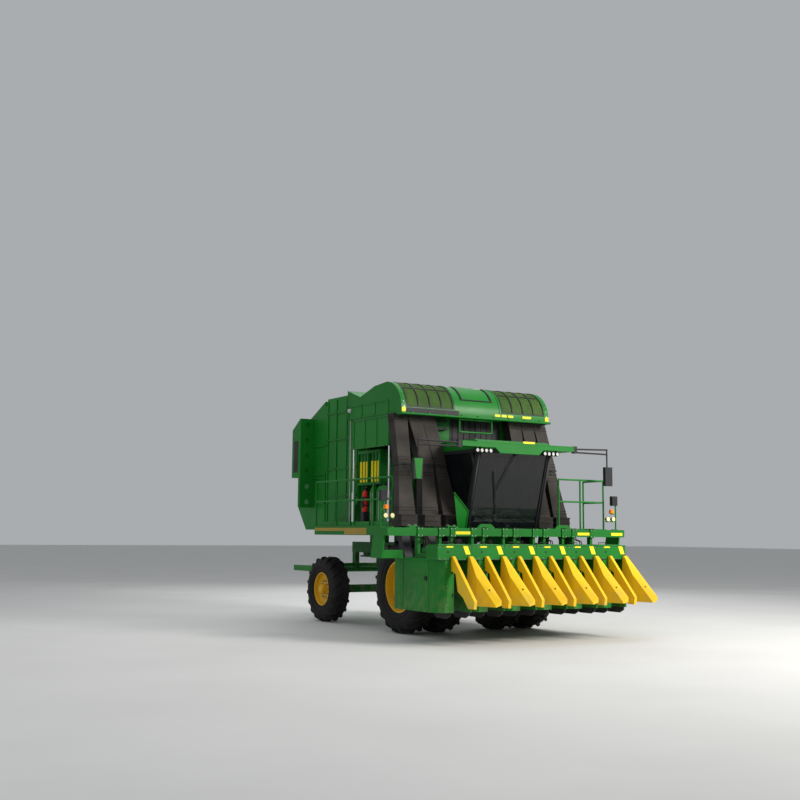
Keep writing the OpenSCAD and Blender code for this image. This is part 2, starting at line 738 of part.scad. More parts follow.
module header_beam() {
    color("green") at_axle() {
        box([-beam_w / 2, beam_w / 2], [beam_y, beam_y + beam_d], [beam_z, beam_z + beam_h]);
        // Lift lugs on top
        for (x = lug_x) translate([x, 0, 0]) front_plate([beam_y, beam_y + 40]) polygon([
            [-230, beam_z + beam_h], [-130, beam_z + beam_h + 90], [130, beam_z + beam_h + 90],
                [230, beam_z + beam_h]
        ]);
        // Clamp blocks on top, over the two right-hand rows
        for (x = [-2430, -1510]) box([x - 105, x + 105], [beam_y + 20, beam_y + beam_d - 20],
            [beam_z + beam_h, beam_z + beam_h + 45]);
        // Hangers down to the row units
        for (i = [0 : rows - 1]) for (x = [-380, 120])
            box([row_x(i) + x, row_x(i) + x + 60], [beam_y + 20, beam_y + beam_d - 20], [plate_top, beam_z]);
        // End plates with their feet
        both_sides() {
            side_plate([beam_w / 2 - 30, beam_w / 2]) polygon([
                [beam_y + beam_d, beam_z + beam_h], [beam_y + beam_d, beam_z - 60], [-1490, foot_z],
                [-1050, foot_z], [-1180, beam_z + beam_h]
            ]);
            box([foot_x, beam_w / 2 - 30], [-1490, -1200], [foot_z, foot_z + 160]);
        }
        // Lift arms from the pivot shaft, under the cab, up to the beam
        both_sides() side_plate([lift_x - arm_w / 2, lift_x + arm_w / 2]) polygon([
            [lift_y + 80, lift_z - 80], [lift_y + 80, lift_z + 80], [-800, lift_z + 150], [-1060, 2040],
            [-1380, 2040], [-1400, beam_z + beam_h], [beam_y + beam_d, beam_z + beam_h],
            [beam_y + beam_d, hood_top + 30], [-1110, hood_top + 30], [-860, lift_z - 40], [-300, lift_z - 80]
        ]);
        x_bar([-lift_x + arm_w / 2, lift_x - arm_w / 2], lift_y, lift_z, 70);
        both_sides() x_bar([lift_x + arm_w / 2, rail_x + rail_w - 15], lift_y, lift_z, pivot_r);
        x_bar([-lift_x + arm_w / 2, lift_x - arm_w / 2], -800, lift_z + 50, 60);
    }
}

module drum_housings() {
    x0 = -throat_w / 2 - house_w;
    x1 = -throat_w / 2;
    color("green") at_axle() for (i = [0 : rows - 1]) translate([row_x(i), 0, 0]) difference() {
        translate([0, 0, unit_clear]) linear_extrude(cabinet_h) polygon([
            [x0, unit_back], [x0, unit_front + face_d], [x0 + 80, unit_front + 90], [x0 + 170, unit_front],
            [x1, unit_front], [x1, unit_back]
        ]);
        // Hollow, open to the throat
        translate([0, 0, unit_clear + wall]) linear_extrude(cabinet_h - 2 * wall) polygon([
            [x0 + wall, unit_back - wall], [x0 + wall, unit_front + face_d + 5],
            [x0 + 80 + wall, unit_front + 100], [x0 + 175, unit_front + wall], [x1 - wall, unit_front + wall],
            [x1 - wall, unit_front + 100], [x1 + 1, unit_front + 100], [x1 + 1, drum_y + drum_r + 60],
            [x1 - wall, drum_y + drum_r + 60], [x1 - wall, unit_back - wall]
        ]);
        translate([x1 - drum_r - 35, drum_y, unit_clear - 1]) cylinder(h = cabinet_h + 2, r = shaft_r + run);
    }
}

module unit_hoods() {
    x = [-throat_w / 2 - house_w, throat_w / 2 + panel_t];
    color("green") at_axle() for (i = [0 : rows - 1]) translate([row_x(i), 0, 0]) {
        box(x, [unit_front, hood_back], [unit_top, hood_top]);
        box(x, [hood_back, unit_back], [unit_top, plate_top]);
        // Gear case behind the hood, with the covers of its two shafts
        translate([(x[0] - throat_w / 2) / 2, hood_back, plate_top]) {
            box([-140, 140], [60, 440], [0, 90]);
            translate([0, 170, 90]) cylinder(h = 70, r = 95);
            translate([0, 350, 90]) cylinder(h = 110, r = 60);
        }
    }
}

module side_panels() {
    color("green") at_axle() for (i = [0 : rows - 1]) translate([row_x(i), 0, 0])
        box([throat_w / 2, throat_w / 2 + panel_t], [unit_front, unit_back], [unit_clear, unit_top]);
}

module dividers() {
    tip_y = unit_front - divider_reach;
    z1 = unit_top + 70;
    t = throat_w / 2;
    color("gold") at_axle() for (i = [0 : rows - 1]) translate([row_x(i), 0, 0]) {
        // Narrow blade on the drum's side, hollowed out below
        side_plate([-t - 70, -t - 5]) polygon([
            [unit_front, z1], [unit_front - 50, z1], [tip_y, unit_clear + 250],
                [tip_y + 20, unit_clear + 110],
            [tip_y + 200, unit_clear + 110], [tip_y + 370, unit_clear + 300],
                [unit_front - 230, unit_clear + 410],
            [unit_front - 160, unit_top - 260], [unit_front, unit_top - 200]
        ]);
        // Wide nose on the other side: a narrow root, a crease in the middle and a broad low tip
        hull() {
            box([t - 50, t + panel_t], [unit_front - 50, unit_front], [z1 - 60, z1]);
            box([t - 90, t + panel_t], [unit_front - 20, unit_front], [unit_clear + 130, unit_clear + 170]);
            box([t - 95, t - 75], [unit_front - 350, unit_front - 330], [unit_clear + 140, unit_top - 310]);
            box([t + 40, t + 60], [tip_y, tip_y + 30], [unit_clear + 135, unit_clear + 155]);
            box([t + 160, t + 175], [tip_y, tip_y + 30], [unit_clear + 170, unit_clear + 250]);
        }
    }
}

module grid_bars() {
    color("gray") at_axle() for (i = [0 : rows - 1]) translate([row_x(i), 0, 0])
        {
            y = [unit_front + 40, drum_y + drum_r + 120];
            for (k = [0 : 9]) box([-throat_w / 2, -throat_w / 2 + 12],
                y, [unit_clear + 60 + k * 100, unit_clear + 75 + k * 100]);
            for (k = y) box([-throat_w / 2, -throat_w / 2 + 12], [k - 10, k + 10],
                [unit_clear + 60, unit_clear + 975]);
        }
}

module suction_necks() {
    z = duct_z[2] - boot_h;
    color("dimgray") at_axle() for (i = [0 : rows - 1]) {
        x = row_x(i) + neck_x[i];
        y = duct_y[side(i)][2] + neck_back;
        k = knee_y[side(i)];
        f = duct_x[i][2];
        hull() {
            box([x - 90, x + 90], [unit_back - 200, unit_back - 40], [plate_top, plate_top + 20]);
            box([knee_x[i] - 90, knee_x[i] + 90], [k - 80, k + 80], [cab_z - 40, cab_z - 15]);
        }
        hull() {
            box([knee_x[i] - 90, knee_x[i] + 90], [k - 80, k + 80], [cab_z - 15, cab_z - 10]);
            box([f - neck_w / 2, f + neck_w / 2], [y - neck_d / 2, y + neck_d / 2], [z + 20, z + 60]);
        }
    }
}

module skid_shoes() {
    color("dimgray") at_axle() for (i = [0 : rows - 1]) translate([row_x(i), 0, 0])
        for (x = [-throat_w / 2 - 60, throat_w / 2 + 5]) translate([x, 0, 0])
            side_plate([0, 30]) polygon([
                [unit_front + 60, unit_clear], [unit_front + 60, unit_clear - 60],
                    [unit_front + 180, unit_clear - 120],
                [unit_front + 520, unit_clear - 120], [unit_front + 620, unit_clear - 60],
                    [unit_front + 620, unit_clear]
            ]);
}

module drum(i) {
    color("silver") at_axle()
        translate([row_x(i) - throat_w / 2 - drum_r - 35, drum_y, unit_clear]) {
            translate([0, 0, 2]) cylinder(h = cabinet_h - 4, r = shaft_r);
            for (z = [wall + gap, cabinet_h - wall - gap - 40]) translate([0, 0, z]) cylinder(h = 40,
                r = drum_r);
            for (a = [0 : bar_n - 1]) rotate([0, 0, a * 360 / bar_n])
                translate([drum_r - 22, 0,
                    wall + gap + 20]) cylinder(h = cabinet_h - 2 * wall - 2 * gap - 40, r = 20, $fn = 16);
        }
}

// A regular outline whose flats are r away from its middle.
function ring(n, r) = [for (i = [0 : n - 1]) r / cos(180 / n) * [cos(360 * i / n), sin(360 * i / n)]];
// An outline with n lugs, h high; the middle of the lug at turn 0 faces down.
function lugged(n, r, h, turn) = [for (i = [0 : n - 1]) for (k = [[-0.26, h], [-0.16, 0], [0.16, 0],
    [0.26, h]])
    let (a = 360 * (i + k[0] + turn) / n - 90) (r / cos(57.6 / n) - k[1]) * [cos(a), sin(a)]];

// A tyre about the origin: side walls, and a tread in two halves half a pitch apart.
module lugged_tyre(r, w, rim, n, h) {
    difference() {
        union() {
            side_plate([-w / 2, w / 2]) polygon(ring(32, r - 150));
            side_plate([-w / 2 + 30, 0]) polygon(lugged(n, r, h, 0));
            side_plate([0, w / 2 - 30]) polygon(lugged(n, r, h, 0.5));
        }
        side_plate([-w / 2 - 1, w / 2 + 1]) polygon(ring(24, rim + run));
    }
}

module drive_tyres(s) {
    color("black") at_axle() for (k = [1, 2]) translate([s * k * row_pitch, 0, drive_r])
        lugged_tyre(drive_r, drive_w, drive_rim_r, 20, 50);
}

module drive_rims(s) {
    color("gold") at_axle() scale([s, 1, 1]) translate([0, 0, drive_r]) {
        difference() {
            union() {
                x_bar([500 + gap, 2 * row_pitch + 90], 0, 0, hub_r);
                for (k = [1, 2]) {
                    x_bar([k * row_pitch - 12, k * row_pitch + 12], 0, 0, drive_rim_r - 30);
                    translate([k * row_pitch, 0, 0]) rotate([0, 90, 0]) rotate_extrude($fn = 96) polygon([
                        [drive_rim_r - 30, -drive_w / 2 + 70], [drive_rim_r, -drive_w / 2 + 70],
                        [drive_rim_r, drive_w / 2 - 70], [drive_rim_r - 30, drive_w / 2 - 70]
                    ]);
                }
            }
            x_bar([500, row_pitch + 140], 0, 0, stub_r + run);
        }
    }
}

module knuckle(s) {
    color("dimgray") at_axle() translate([0, wheelbase, guide_r]) scale([s, 1, 1]) {
        translate([king_x, 0, -150]) cylinder(h = 300, r = king_r);
        for (z = [-180, 120]) translate([king_x, 0, z]) cylinder(h = 60, r = 80);
        box([king_x + 95, king_x + 135], [-70, 70], [-180, 180]);
        for (z = [-180, 120]) box([king_x, king_x + 100], [-70, 70], [z, z + 60]);
        x_bar([king_x + 135, guide_x + 160], 0, 0, guide_stub_r);
    }
}

module guide_tyre(s) {
    color("black") at_axle() translate([s * guide_x, wheelbase, guide_r])
        lugged_tyre(guide_r, guide_w, guide_rim_r, 18, 40);
}

module guide_rim(s) {
    color("gold") at_axle() translate([0, wheelbase, guide_r]) scale([s, 1, 1]) difference() {
        union() {
            x_bar([king_x + 145, guide_x + 190], 0, 0, 120);
            x_bar([guide_x + 60, guide_x + 80], 0, 0, guide_rim_r - 20);
            translate([guide_x, 0, 0]) rotate([0, 90, 0]) rotate_extrude($fn = 96) polygon([
                [guide_rim_r - 25, -guide_w / 2 + 60], [guide_rim_r, -guide_w / 2 + 60],
                [guide_rim_r, guide_w / 2 - 60], [guide_rim_r - 25, guide_w / 2 - 60]
            ]);
        }
        x_bar([king_x + 140, guide_x + 170], 0, 0, guide_stub_r + run);
    }
}

// Outline of the gate in Y and Z, taken in by a wall's thickness.
module gate_outline(t) {
    polygon([
        [split_y + gap - 2 * t, chamber_top - 160 + 2 * t], [split_y + gap - 2 * t, chamber_low + 20 + t],
        [gate_y1 - 500, chamber_low + 20 + t], [gate_y1 - t, chamber_low + 620],
            [gate_y1 - t, chamber_top - 900],
        [split_y + 1050, chamber_top - 460 - t], [split_y + 60 - t, chamber_top - 160 - t]
    ]);
}

module gate() {
    color("green") at_axle() {
        difference() {
            side_plate([-cham_x, cham_x]) gate_outline(0);
            side_plate([-cham_x + chamber_t, cham_x - chamber_t]) gate_outline(chamber_t);
        }
        // Fairing that carries the chamber's roof on, behind the hinge
        side_plate([-cham_x, cham_x]) polygon([
            [split_y + 120, chamber_top - 200], [split_y + 120, chamber_top - 40],
            [split_y + 1050, chamber_top - 461]
        ]);
        // Hinge lugs and pins
        both_sides() {
            box([cham_x - 230, cham_x - 150], [hinge_y - 20, hinge_y + 40], [chamber_top - 175, hinge_z]);
            x_bar([cham_x - 230, cham_x - 150], hinge_y, hinge_z, hinge_r);
            x_bar([cham_x - 300, cham_x - 230], hinge_y, hinge_z, hinge_r / 2);
        }
        // Pods down both sides, with the drilled flange in front
        both_sides() {
            side_plate([cham_x, cham_x + pod_w]) polygon([
                [pod_y0 + 30, pod_z0], [pod_y0 + 30, pod_z1], [pod_y1, pod_z1 - 270], [pod_y1, pod_z0]
            ]);
            front_plate([pod_y0, pod_y0 + 30]) difference() {
                translate([cham_x, pod_z0 - 740]) square([pod_w, pod_z1 - pod_z0 + 740]);
                for (k = [0 : 5]) translate([cham_x + pod_w / 2, pod_z0 - 600 + k * 380]) circle(r = 60);
            }
        }
    }
}

module handler() {
    z = handler_z;
    x = [handler_x - 140, handler_x - 60]; // side arms
    y1 = handler_y + handler_l;
    color("green") at_axle() {
        x_bar([-handler_x, handler_x], handler_y, z, 55);
        both_sides() {
            box(x, [handler_y, y1], [z - 180, z - 40]);
            box(x, [handler_y - 60, handler_y + 60], [z - 60, z + 60]);
        }
        box([-x[0], x[0]], [y1 - 120, y1], [z - 180, z - 60]);
        for (k = [0 : 3]) x_bar([-x[0], x[0]], handler_y + 350 + k * 420, z - 110, 70);
    }
}

chassis();
drive_axle();
guide_axle();
engine();
cooling_pack();
cab_frame();
cab_roof();
cab_glass();
cab_interior();
cab_door();
door_glass();
ducts();
accumulator();
curved_screens();
lift_rods();
feeder_box();
chamber();
chamber_belts();
decks();
handrails();
ladder();
tanks();
mirrors();
lamps();
header_beam();
drum_housings();
unit_hoods();
side_panels();
dividers();
grid_bars();
suction_necks();
skid_shoes();
for (i = [0 : rows - 1]) drum(i);
gate();
handler();
drive_tyres(-1);  // drive_tyres_right
drive_rims(-1);  // drive_rims_right
drive_tyres(1);  // drive_tyres_left
drive_rims(1);  // drive_rims_left
knuckle(-1);  // knuckle_right
guide_tyre(-1);  // guide_tyre_right
guide_rim(-1);  // guide_rim_right
knuckle(1);  // knuckle_left
guide_tyre(1);  // guide_tyre_left
guide_rim(1);  // guide_rim_left
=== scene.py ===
"""Cotton harvester in a plain studio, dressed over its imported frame."""

import json
import math

import bmesh
import bpy
from mathutils import Matrix, Vector


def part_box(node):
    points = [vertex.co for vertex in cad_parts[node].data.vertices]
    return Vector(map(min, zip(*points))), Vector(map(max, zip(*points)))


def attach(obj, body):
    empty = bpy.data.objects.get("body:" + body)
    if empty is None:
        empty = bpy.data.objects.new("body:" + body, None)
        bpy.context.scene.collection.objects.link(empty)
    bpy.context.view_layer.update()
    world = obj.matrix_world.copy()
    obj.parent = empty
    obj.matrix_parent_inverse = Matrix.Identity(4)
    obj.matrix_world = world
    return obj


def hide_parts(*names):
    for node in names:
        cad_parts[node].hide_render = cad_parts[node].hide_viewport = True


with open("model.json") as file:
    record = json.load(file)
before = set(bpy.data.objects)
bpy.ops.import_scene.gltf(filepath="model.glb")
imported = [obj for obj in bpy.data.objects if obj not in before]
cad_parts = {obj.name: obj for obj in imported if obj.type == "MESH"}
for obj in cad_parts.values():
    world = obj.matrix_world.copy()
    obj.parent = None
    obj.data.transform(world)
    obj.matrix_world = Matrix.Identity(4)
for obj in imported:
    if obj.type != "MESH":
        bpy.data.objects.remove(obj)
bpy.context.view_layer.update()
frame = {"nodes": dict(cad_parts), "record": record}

AXLE_Y = -1.410  # drive axle in the part's frame
FRONT = AXLE_Y - 2.700  # front of the row units
ROW = 0.780  # from row to row
ROWS = [(i - 2.5) * ROW for i in range(6)]
THROAT = 0.370  # width of a unit's open throat
FILM = 0.003  # thickness of a printed film
SIDES = (-1, 1)  # right and left
MACHINE, HEADER = "machine", "header"


# ---- materials ----
def new_material(name):
    """A node material: with its tree, shader and object coordinates."""
    mat = bpy.data.materials.new(name)
    mat.use_nodes = True
    tree = mat.node_tree
    coords = tree.nodes.new("ShaderNodeTexCoord").outputs["Object"]
    return mat, tree, tree.nodes["Principled BSDF"], coords


def feed(tree, value, socket):
    """Links a socket's source, or sets its number or colour."""
    if isinstance(value, bpy.types.NodeSocket):
        tree.links.new(value, socket)
    elif isinstance(value, tuple):
        socket.default_value = (*value, 1.0)
    else:
        socket.default_value = value


def noise(tree, coords, scale, detail=4.0, stretch=(1, 1, 1)):
    mapping = tree.nodes.new("ShaderNodeMapping")
    mapping.inputs["Scale"].default_value = stretch
    tree.links.new(coords, mapping.inputs["Vector"])
    node = tree.nodes.new("ShaderNodeTexNoise")
    node.inputs["Scale"].default_value = scale
    node.inputs["Detail"].default_value = detail
    tree.links.new(mapping.outputs["Vector"], node.inputs["Vector"])
    return node.outputs["Fac"]


def ramp(tree, fac, stops):
    node = tree.nodes.new("ShaderNodeValToRGB")
    tree.links.new(fac, node.inputs["Fac"])
    while len(node.color_ramp.elements) < len(stops):
        node.color_ramp.elements.new(0.5)
    for element, (place, colour) in zip(node.color_ramp.elements, stops):
        element.position = place
        element.color = (*colour, 1.0)
    return node.outputs["Color"]


def mix(tree, fac, a, b):
    node = tree.nodes.new("ShaderNodeMix")
    node.data_type = "RGBA"
    for name, value in (("Factor", fac), ("A", a), ("B", b)):
        feed(tree, value, node.inputs[name])
    return node.outputs["Result"]


def bump(tree, bsdf, height, strength, distance):
    node = tree.nodes.new("ShaderNodeBump")
    node.inputs["Strength"].default_value = strength
    node.inputs["Distance"].default_value = distance
    tree.links.new(height, node.inputs["Height"])
    tree.links.new(node.outputs["Normal"], bsdf.inputs["Normal"])


def height_fade(tree, coords, low, high):
    """1 at the height low, 0 at the height high."""
    split = tree.nodes.new("ShaderNodeSeparateXYZ")
    tree.links.new(coords, split.inputs["Vector"])
    node = tree.nodes.new("ShaderNodeMapRange")
    node.inputs["From Min"].default_value = low
    node.inputs["From Max"].default_value = high
    node.inputs["To Min"].default_value = 1.0
    node.inputs["To Max"].default_value = 0.0
    tree.links.new(split.outputs["Z"], node.inputs["Value"])
    return node.outputs["Result"]


def times(tree, a, b):
    node = tree.nodes.new("ShaderNodeMath")
    node.operation = "MULTIPLY"
    feed(tree, a, node.inputs[0])
    feed(tree, b, node.inputs[1])
    return node.outputs["Value"]


def paint(name, colour, dark, roughness=0.42, dust=0.35, dust_top=1.6, coat=0.10):
    """Sprayed enamel: faint shade changes, orange peel and field dust low down."""
    mat, tree, bsdf, coords = new_material(name)
    base = ramp(tree, noise(tree, coords, 0.9), [(0.3, dark), (0.7, colour)])
    grime = ramp(tree, noise(tree, coords, 6.0, 8.0), [(0.42, (0, 0, 0)), (0.72, (1, 1, 1))])
    low = times(tree, times(tree, height_fade(tree, coords, 0.2, dust_top), grime), dust)
    dusty = mix(tree, low, base, (0.36, 0.27, 0.17))
    tree.links.new(dusty, bsdf.inputs["Base Color"])
    rough = tree.nodes.new("ShaderNodeMapRange")
    rough.inputs["To Min"].default_value = roughness
    rough.inputs["To Max"].default_value = roughness + 0.18
    tree.links.new(noise(tree, coords, 3.0, 6.0), rough.inputs["Value"])
    tree.links.new(rough.outputs["Result"], bsdf.inputs["Roughness"])
    bsdf.inputs["Specular IOR Level"].default_value = 0.22
    bsdf.inputs["Coat Weight"].default_value = coat
    bsdf.inputs["Coat Roughness"].default_value = 0.20
    bump(tree, bsdf, noise(tree, coords, 220.0, 2.0), 0.05, 0.001)
    return mat


def plain(name, colour, roughness=0.5, metallic=0.0, grain=60.0, depth=0.15, spread=0.25):
    """Moulded or cast surface with a fine grain and slight shade changes."""
    mat, tree, bsdf, coords = new_material(name)
    dark = tuple(c * (1 - spread) for c in colour)
    light = tuple(min(1.0, c * (1 + spread)) for c in colour)
    base = ramp(tree, noise(tree, coords, 2.5, 6.0), [(0.3, dark), (0.7, light)])
    tree.links.new(base, bsdf.inputs["Base Color"])
    bsdf.inputs["Roughness"].default_value = roughness
    bsdf.inputs["Specular IOR Level"].default_value = 0.22
    bsdf.inputs["Metallic"].default_value = metallic
    bump(tree, bsdf, noise(tree, coords, grain, 3.0), depth, 0.002)
    return mat


GREEN = paint("green_enamel", (0.006, 0.190, 0.016), (0.004, 0.150, 0.012))
FRAME_GREEN = paint("frame_enamel", (0.006, 0.150, 0.018), (0.004, 0.110, 0.013),
                    roughness=0.5, dust=0.5, dust_top=2.2, coat=0.05)
YELLOW = paint("yellow_enamel", (0.82, 0.48, 0.012), (0.70, 0.40, 0.012), dust=0.5)
NOSE = paint("yellow_nose", (0.86, 0.57, 0.012), (0.80, 0.48, 0.010),
             roughness=0.38, dust=0.75, dust_top=1.25)
PLATE_YELLOW = plain("yellow_film", (0.95, 0.80, 0.03), 0.4, grain=30.0, depth=0.02, spread=0.05)
GOLD = plain("gold_film", (0.38, 0.26, 0.04), 0.4, grain=30.0, depth=0.02, spread=0.06)
RUBBER = plain("duct_rubber", (0.030, 0.025, 0.021), 0.62, grain=24.0, depth=0.35, spread=0.45)
DARK = plain("dark_plastic", (0.022, 0.022, 0.024), grain=180.0)
CAST = plain("cast_metal", (0.050, 0.050, 0.052), 0.62, metallic=0.5, grain=90.0, depth=0.3)
STEEL = plain("bare_steel", (0.42, 0.41, 0.39), 0.38, metallic=1.0, grain=150.0, depth=0.08)
CHROME = plain("rod_chrome", (0.80, 0.80, 0.81), 0.08, metallic=1.0, grain=200.0, depth=0.0,
               spread=0.03)
BELT = plain("belt_rubber", (0.33, 0.29, 0.20), 0.7, grain=40.0, depth=0.3)
TYRE = plain("tyre_rubber", (0.020, 0.019, 0.018), 0.78, grain=110.0, depth=0.35, spread=0.3)
SEAT = plain("seat_cloth", (0.050, 0.052, 0.056), 0.9, grain=260.0, depth=0.5)
RED = plain("red_enamel", (0.62, 0.03, 0.02), 0.3, grain=120.0, depth=0.03, spread=0.08)
ORANGE = plain("orange_lens", (0.95, 0.26, 0.02), 0.15, grain=50.0, depth=0.05, spread=0.05)
LENS = plain("lamp_lens", (0.60, 0.61, 0.58), 0.12, grain=70.0, depth=0.25, spread=0.06)
AMBER = plain("pale_lens", (0.92, 0.82, 0.42), 0.15, grain=70.0, depth=0.2, spread=0.06)


def glass_material():
    """Dark tinted glass that lets the inside show faintly."""
    mat, tree, bsdf, coords = new_material("tinted_glass")
    bsdf.inputs["Base Color"].default_value = (0.006, 0.008, 0.009, 1.0)
    bsdf.inputs["Roughness"].default_value = 0.04
    bsdf.inputs["Alpha"].default_value = 0.80
    bsdf.inputs["Specular IOR Level"].default_value = 0.35
    bump(tree, bsdf, noise(tree, coords, 1.5, 2.0), 0.02, 0.002)
    return mat


def screen_material():
    """Fine woven mesh, seen as an olive sheet with a small regular bump."""
    mat, tree, bsdf, coords = new_material("screen_mesh")
    base = ramp(tree, noise(tree, coords, 1.6, 5.0),
                [(0.3, (0.035, 0.110, 0.012)), (0.7, (0.075, 0.165, 0.020))])
    tree.links.new(base, bsdf.inputs["Base Color"])
    bsdf.inputs["Roughness"].default_value = 0.7
    voronoi = tree.nodes.new("ShaderNodeTexVoronoi")
    voronoi.inputs["Scale"].default_value = 90.0
    voronoi.inputs["Randomness"].default_value = 0.0
    tree.links.new(coords, voronoi.inputs["Vector"])
    bump(tree, bsdf, voronoi.outputs["Distance"], 0.8, 0.004)
    return mat


GLASS = glass_material()
SCREEN = screen_material()

# Materials of the record's slots
BY_SLOT = {
    "frame_paint": FRAME_GREEN, "green_paint": GREEN, "dark_green_paint": GREEN,
    "yellow_paint": YELLOW, "yellow_plastic": NOSE, "screen_mesh": SCREEN,
    "duct_rubber": RUBBER, "dark_plastic": DARK,
    "dark_metal": CAST, "bare_steel": STEEL, "rod_chrome": CHROME, "window_glass": GLASS,
    "belt_rubber": BELT, "tyre_rubber": TYRE, "lamp_lens": LENS, "seat_fabric": SEAT,
}
for part in frame["record"]["subparts"]:
    obj = frame["nodes"][part["node"]]
    material = BY_SLOT[part["material_slot"]]
    for holder in obj.material_slots:
        holder.material = material
    if not obj.material_slots:
        obj.data.materials.append(material)


# ---- shapes ----
def piece(name, bm, material, body, bevel=0.0, smooth=False):
    """Turns a bmesh into a piece that rides on a body."""
    mesh = bpy.data.meshes.new(name)
    bmesh.ops.recalc_face_normals(bm, faces=bm.faces)
    bm.to_mesh(mesh)
    bm.free()
    obj = bpy.data.objects.new(name, mesh)
    bpy.context.scene.collection.objects.link(obj)
    mesh.materials.append(material)
    if smooth:
        mesh.shade_smooth()
    if bevel:
        mod = obj.modifiers.new("edges", "BEVEL")
        mod.width = bevel
        mod.segments = 2
        mod.limit_method = "ANGLE"
        mod.angle_limit = math.radians(40)
    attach(obj, body)
    return obj


def add_box(bm, x, y, z):
    """A box between two X, two Y and two Z places."""
    verts = [bm.verts.new((a, b, c)) for a in x for b in y for c in z]
    for face in ((0, 1, 3, 2), (4, 6, 7, 5), (0, 4, 5, 1),
                 (2, 3, 7, 6), (0, 2, 6, 4), (1, 5, 7, 3)):
        bm.faces.new([verts[k] for k in face])


def add_rod(bm, a, b, radius, sides=16, radius_end=None):
    """A round bar from a to b."""
    a, b = Vector(a), Vector(b)
    axis = b - a
    turn = Vector((0, 0, 1)).rotation_difference(axis).to_matrix().to_4x4()
    bmesh.ops.create_cone(
        bm, cap_ends=True, segments=sides, depth=axis.length,
        radius1=radius, radius2=radius if radius_end is None else radius_end,
        matrix=Matrix.Translation((a + b) / 2) @ turn)


def skin(bm, rings, caps=True):
    """Faces from ring to ring, and over both ends."""
    for lower, upper in zip(rings, rings[1:]):
        sides = len(lower)
        for k in range(sides):
            bm.faces.new((lower[k], lower[(k + 1) % sides], upper[(k + 1) % sides], upper[k]))
    if caps:
        bm.faces.new(rings[0][::-1])
        bm.faces.new(rings[-1])


def add_loft(bm, rings):
    """A solid through rings of points."""
    skin(bm, [[bm.verts.new(p) for p in ring] for ring in rings])


def add_post(bm, x, y, z, radius, sides=16, radius_end=None):
    """An upright round bar between two Z places."""
    add_rod(bm, (x, y, z[0]), (x, y, z[1]), radius, sides, radius_end)


def add_tube(bm, points, radius, sides=10):
    """A round tube along a bent path."""
    points = [Vector(p) for p in points]
    angles = [math.tau * s / sides for s in range(sides)]
    rings = []
    side = None
    for k, p in enumerate(points):
        ahead = points[min(k + 1, len(points) - 1)] - points[max(k - 1, 0)]
        ahead.normalize()
        if side is None:
            side = ahead.orthogonal().normalized()
        side = (side - ahead * side.dot(ahead)).normalized()
        other = ahead.cross(side)
        rings.append([p + radius * (math.cos(t) * side + math.sin(t) * other) for t in angles])
    add_loft(bm, rings)


def wheel_circle(x, y, z, radius, sides=72):
    """Points of a closed circle round a line across the machine."""
    return [(x, y + radius * math.cos(t), z + radius * math.sin(t))
            for t in (math.tau * k / sides for k in range(sides + 1))]


def add_bolt(bm, p, axis, radius=0.014, height=0.010):
    """A hexagon head whose seat is at p."""
    p, axis = Vector(p), Vector(axis).normalized()
    add_rod(bm, p, p + axis * height, radius, sides=6)


def curve_points(keys, steps):
    """Smooth points through a few keys (Catmull-Rom)."""
    keys = [Vector(k) for k in keys]
    padded = [2 * keys[0] - keys[1]] + keys + [2 * keys[-1] - keys[-2]]
    out = []
    for i in range(1, len(padded) - 2):
        p0, p1, p2, p3 = padded[i - 1:i + 3]
        for s in range(steps):
            t = s / steps
            out.append(0.5 * ((2 * p1) + (p2 - p0) * t + (2 * p0 - 5 * p1 + 4 * p2 - p3) * t * t
                              + (3 * p1 - p0 - 3 * p2 + p3) * t ** 3))
    out.append(keys[-1])
    return out


def Y(y):
    """From a distance behind the drive axle to the part's frame."""
    return y + AXLE_Y


def near(middle, reach):
    """The places at a reach on both sides of a middle."""
    return middle - reach, middle + reach


def span(s, a, b):
    """The places a and b on the side s, the lower one first."""
    return sorted((s * a, s * b))


# ---- header ----
HOOD_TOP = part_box("unit_hoods")[1][2]
HOOD_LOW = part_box("unit_hoods")[0][2]
UNIT_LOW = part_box("drum_housings")[0][2]
PLATE_TOP = HOOD_LOW + 0.025  # plate behind the hoods
HOOD_BACK = FRONT + 0.400
HOUSE_X = -THROAT / 2 - 0.371  # a housing's right-hand side, from its row
PANEL_X = THROAT / 2 + 0.035  # its left-hand side
CASE_X = [x + HOUSE_X / 2 - THROAT / 4 for x in ROWS]
HANGER_X = [x + dx for x in ROWS for dx in (-0.38, 0.12)]
BEAM_Y = Y(-1.720)
BEAM_Z = HOOD_TOP + 0.170
BEAM_TOP = BEAM_Z + 0.160

bm = bmesh.new()
for x in ROWS:
    # Slanted yellow plate over the nose
    slant = [(x + a, HOOD_TOP - b)
             for a, b in ((0.085, 0.177), (0.193, 0.177), (0.127, 0.015), (0.019, 0.015))]
    add_loft(bm, [[(a, y, b) for a, b in slant] for y in (FRONT - 0.004, FRONT)])
    # Thin strip near the hood's other end
    add_box(bm, (x - 0.360, x - 0.205), (FRONT - FILM, FRONT), (HOOD_TOP - 0.046, HOOD_TOP - 0.018))
piece("hood_plates", bm, PLATE_YELLOW, HEADER, bevel=0.001)

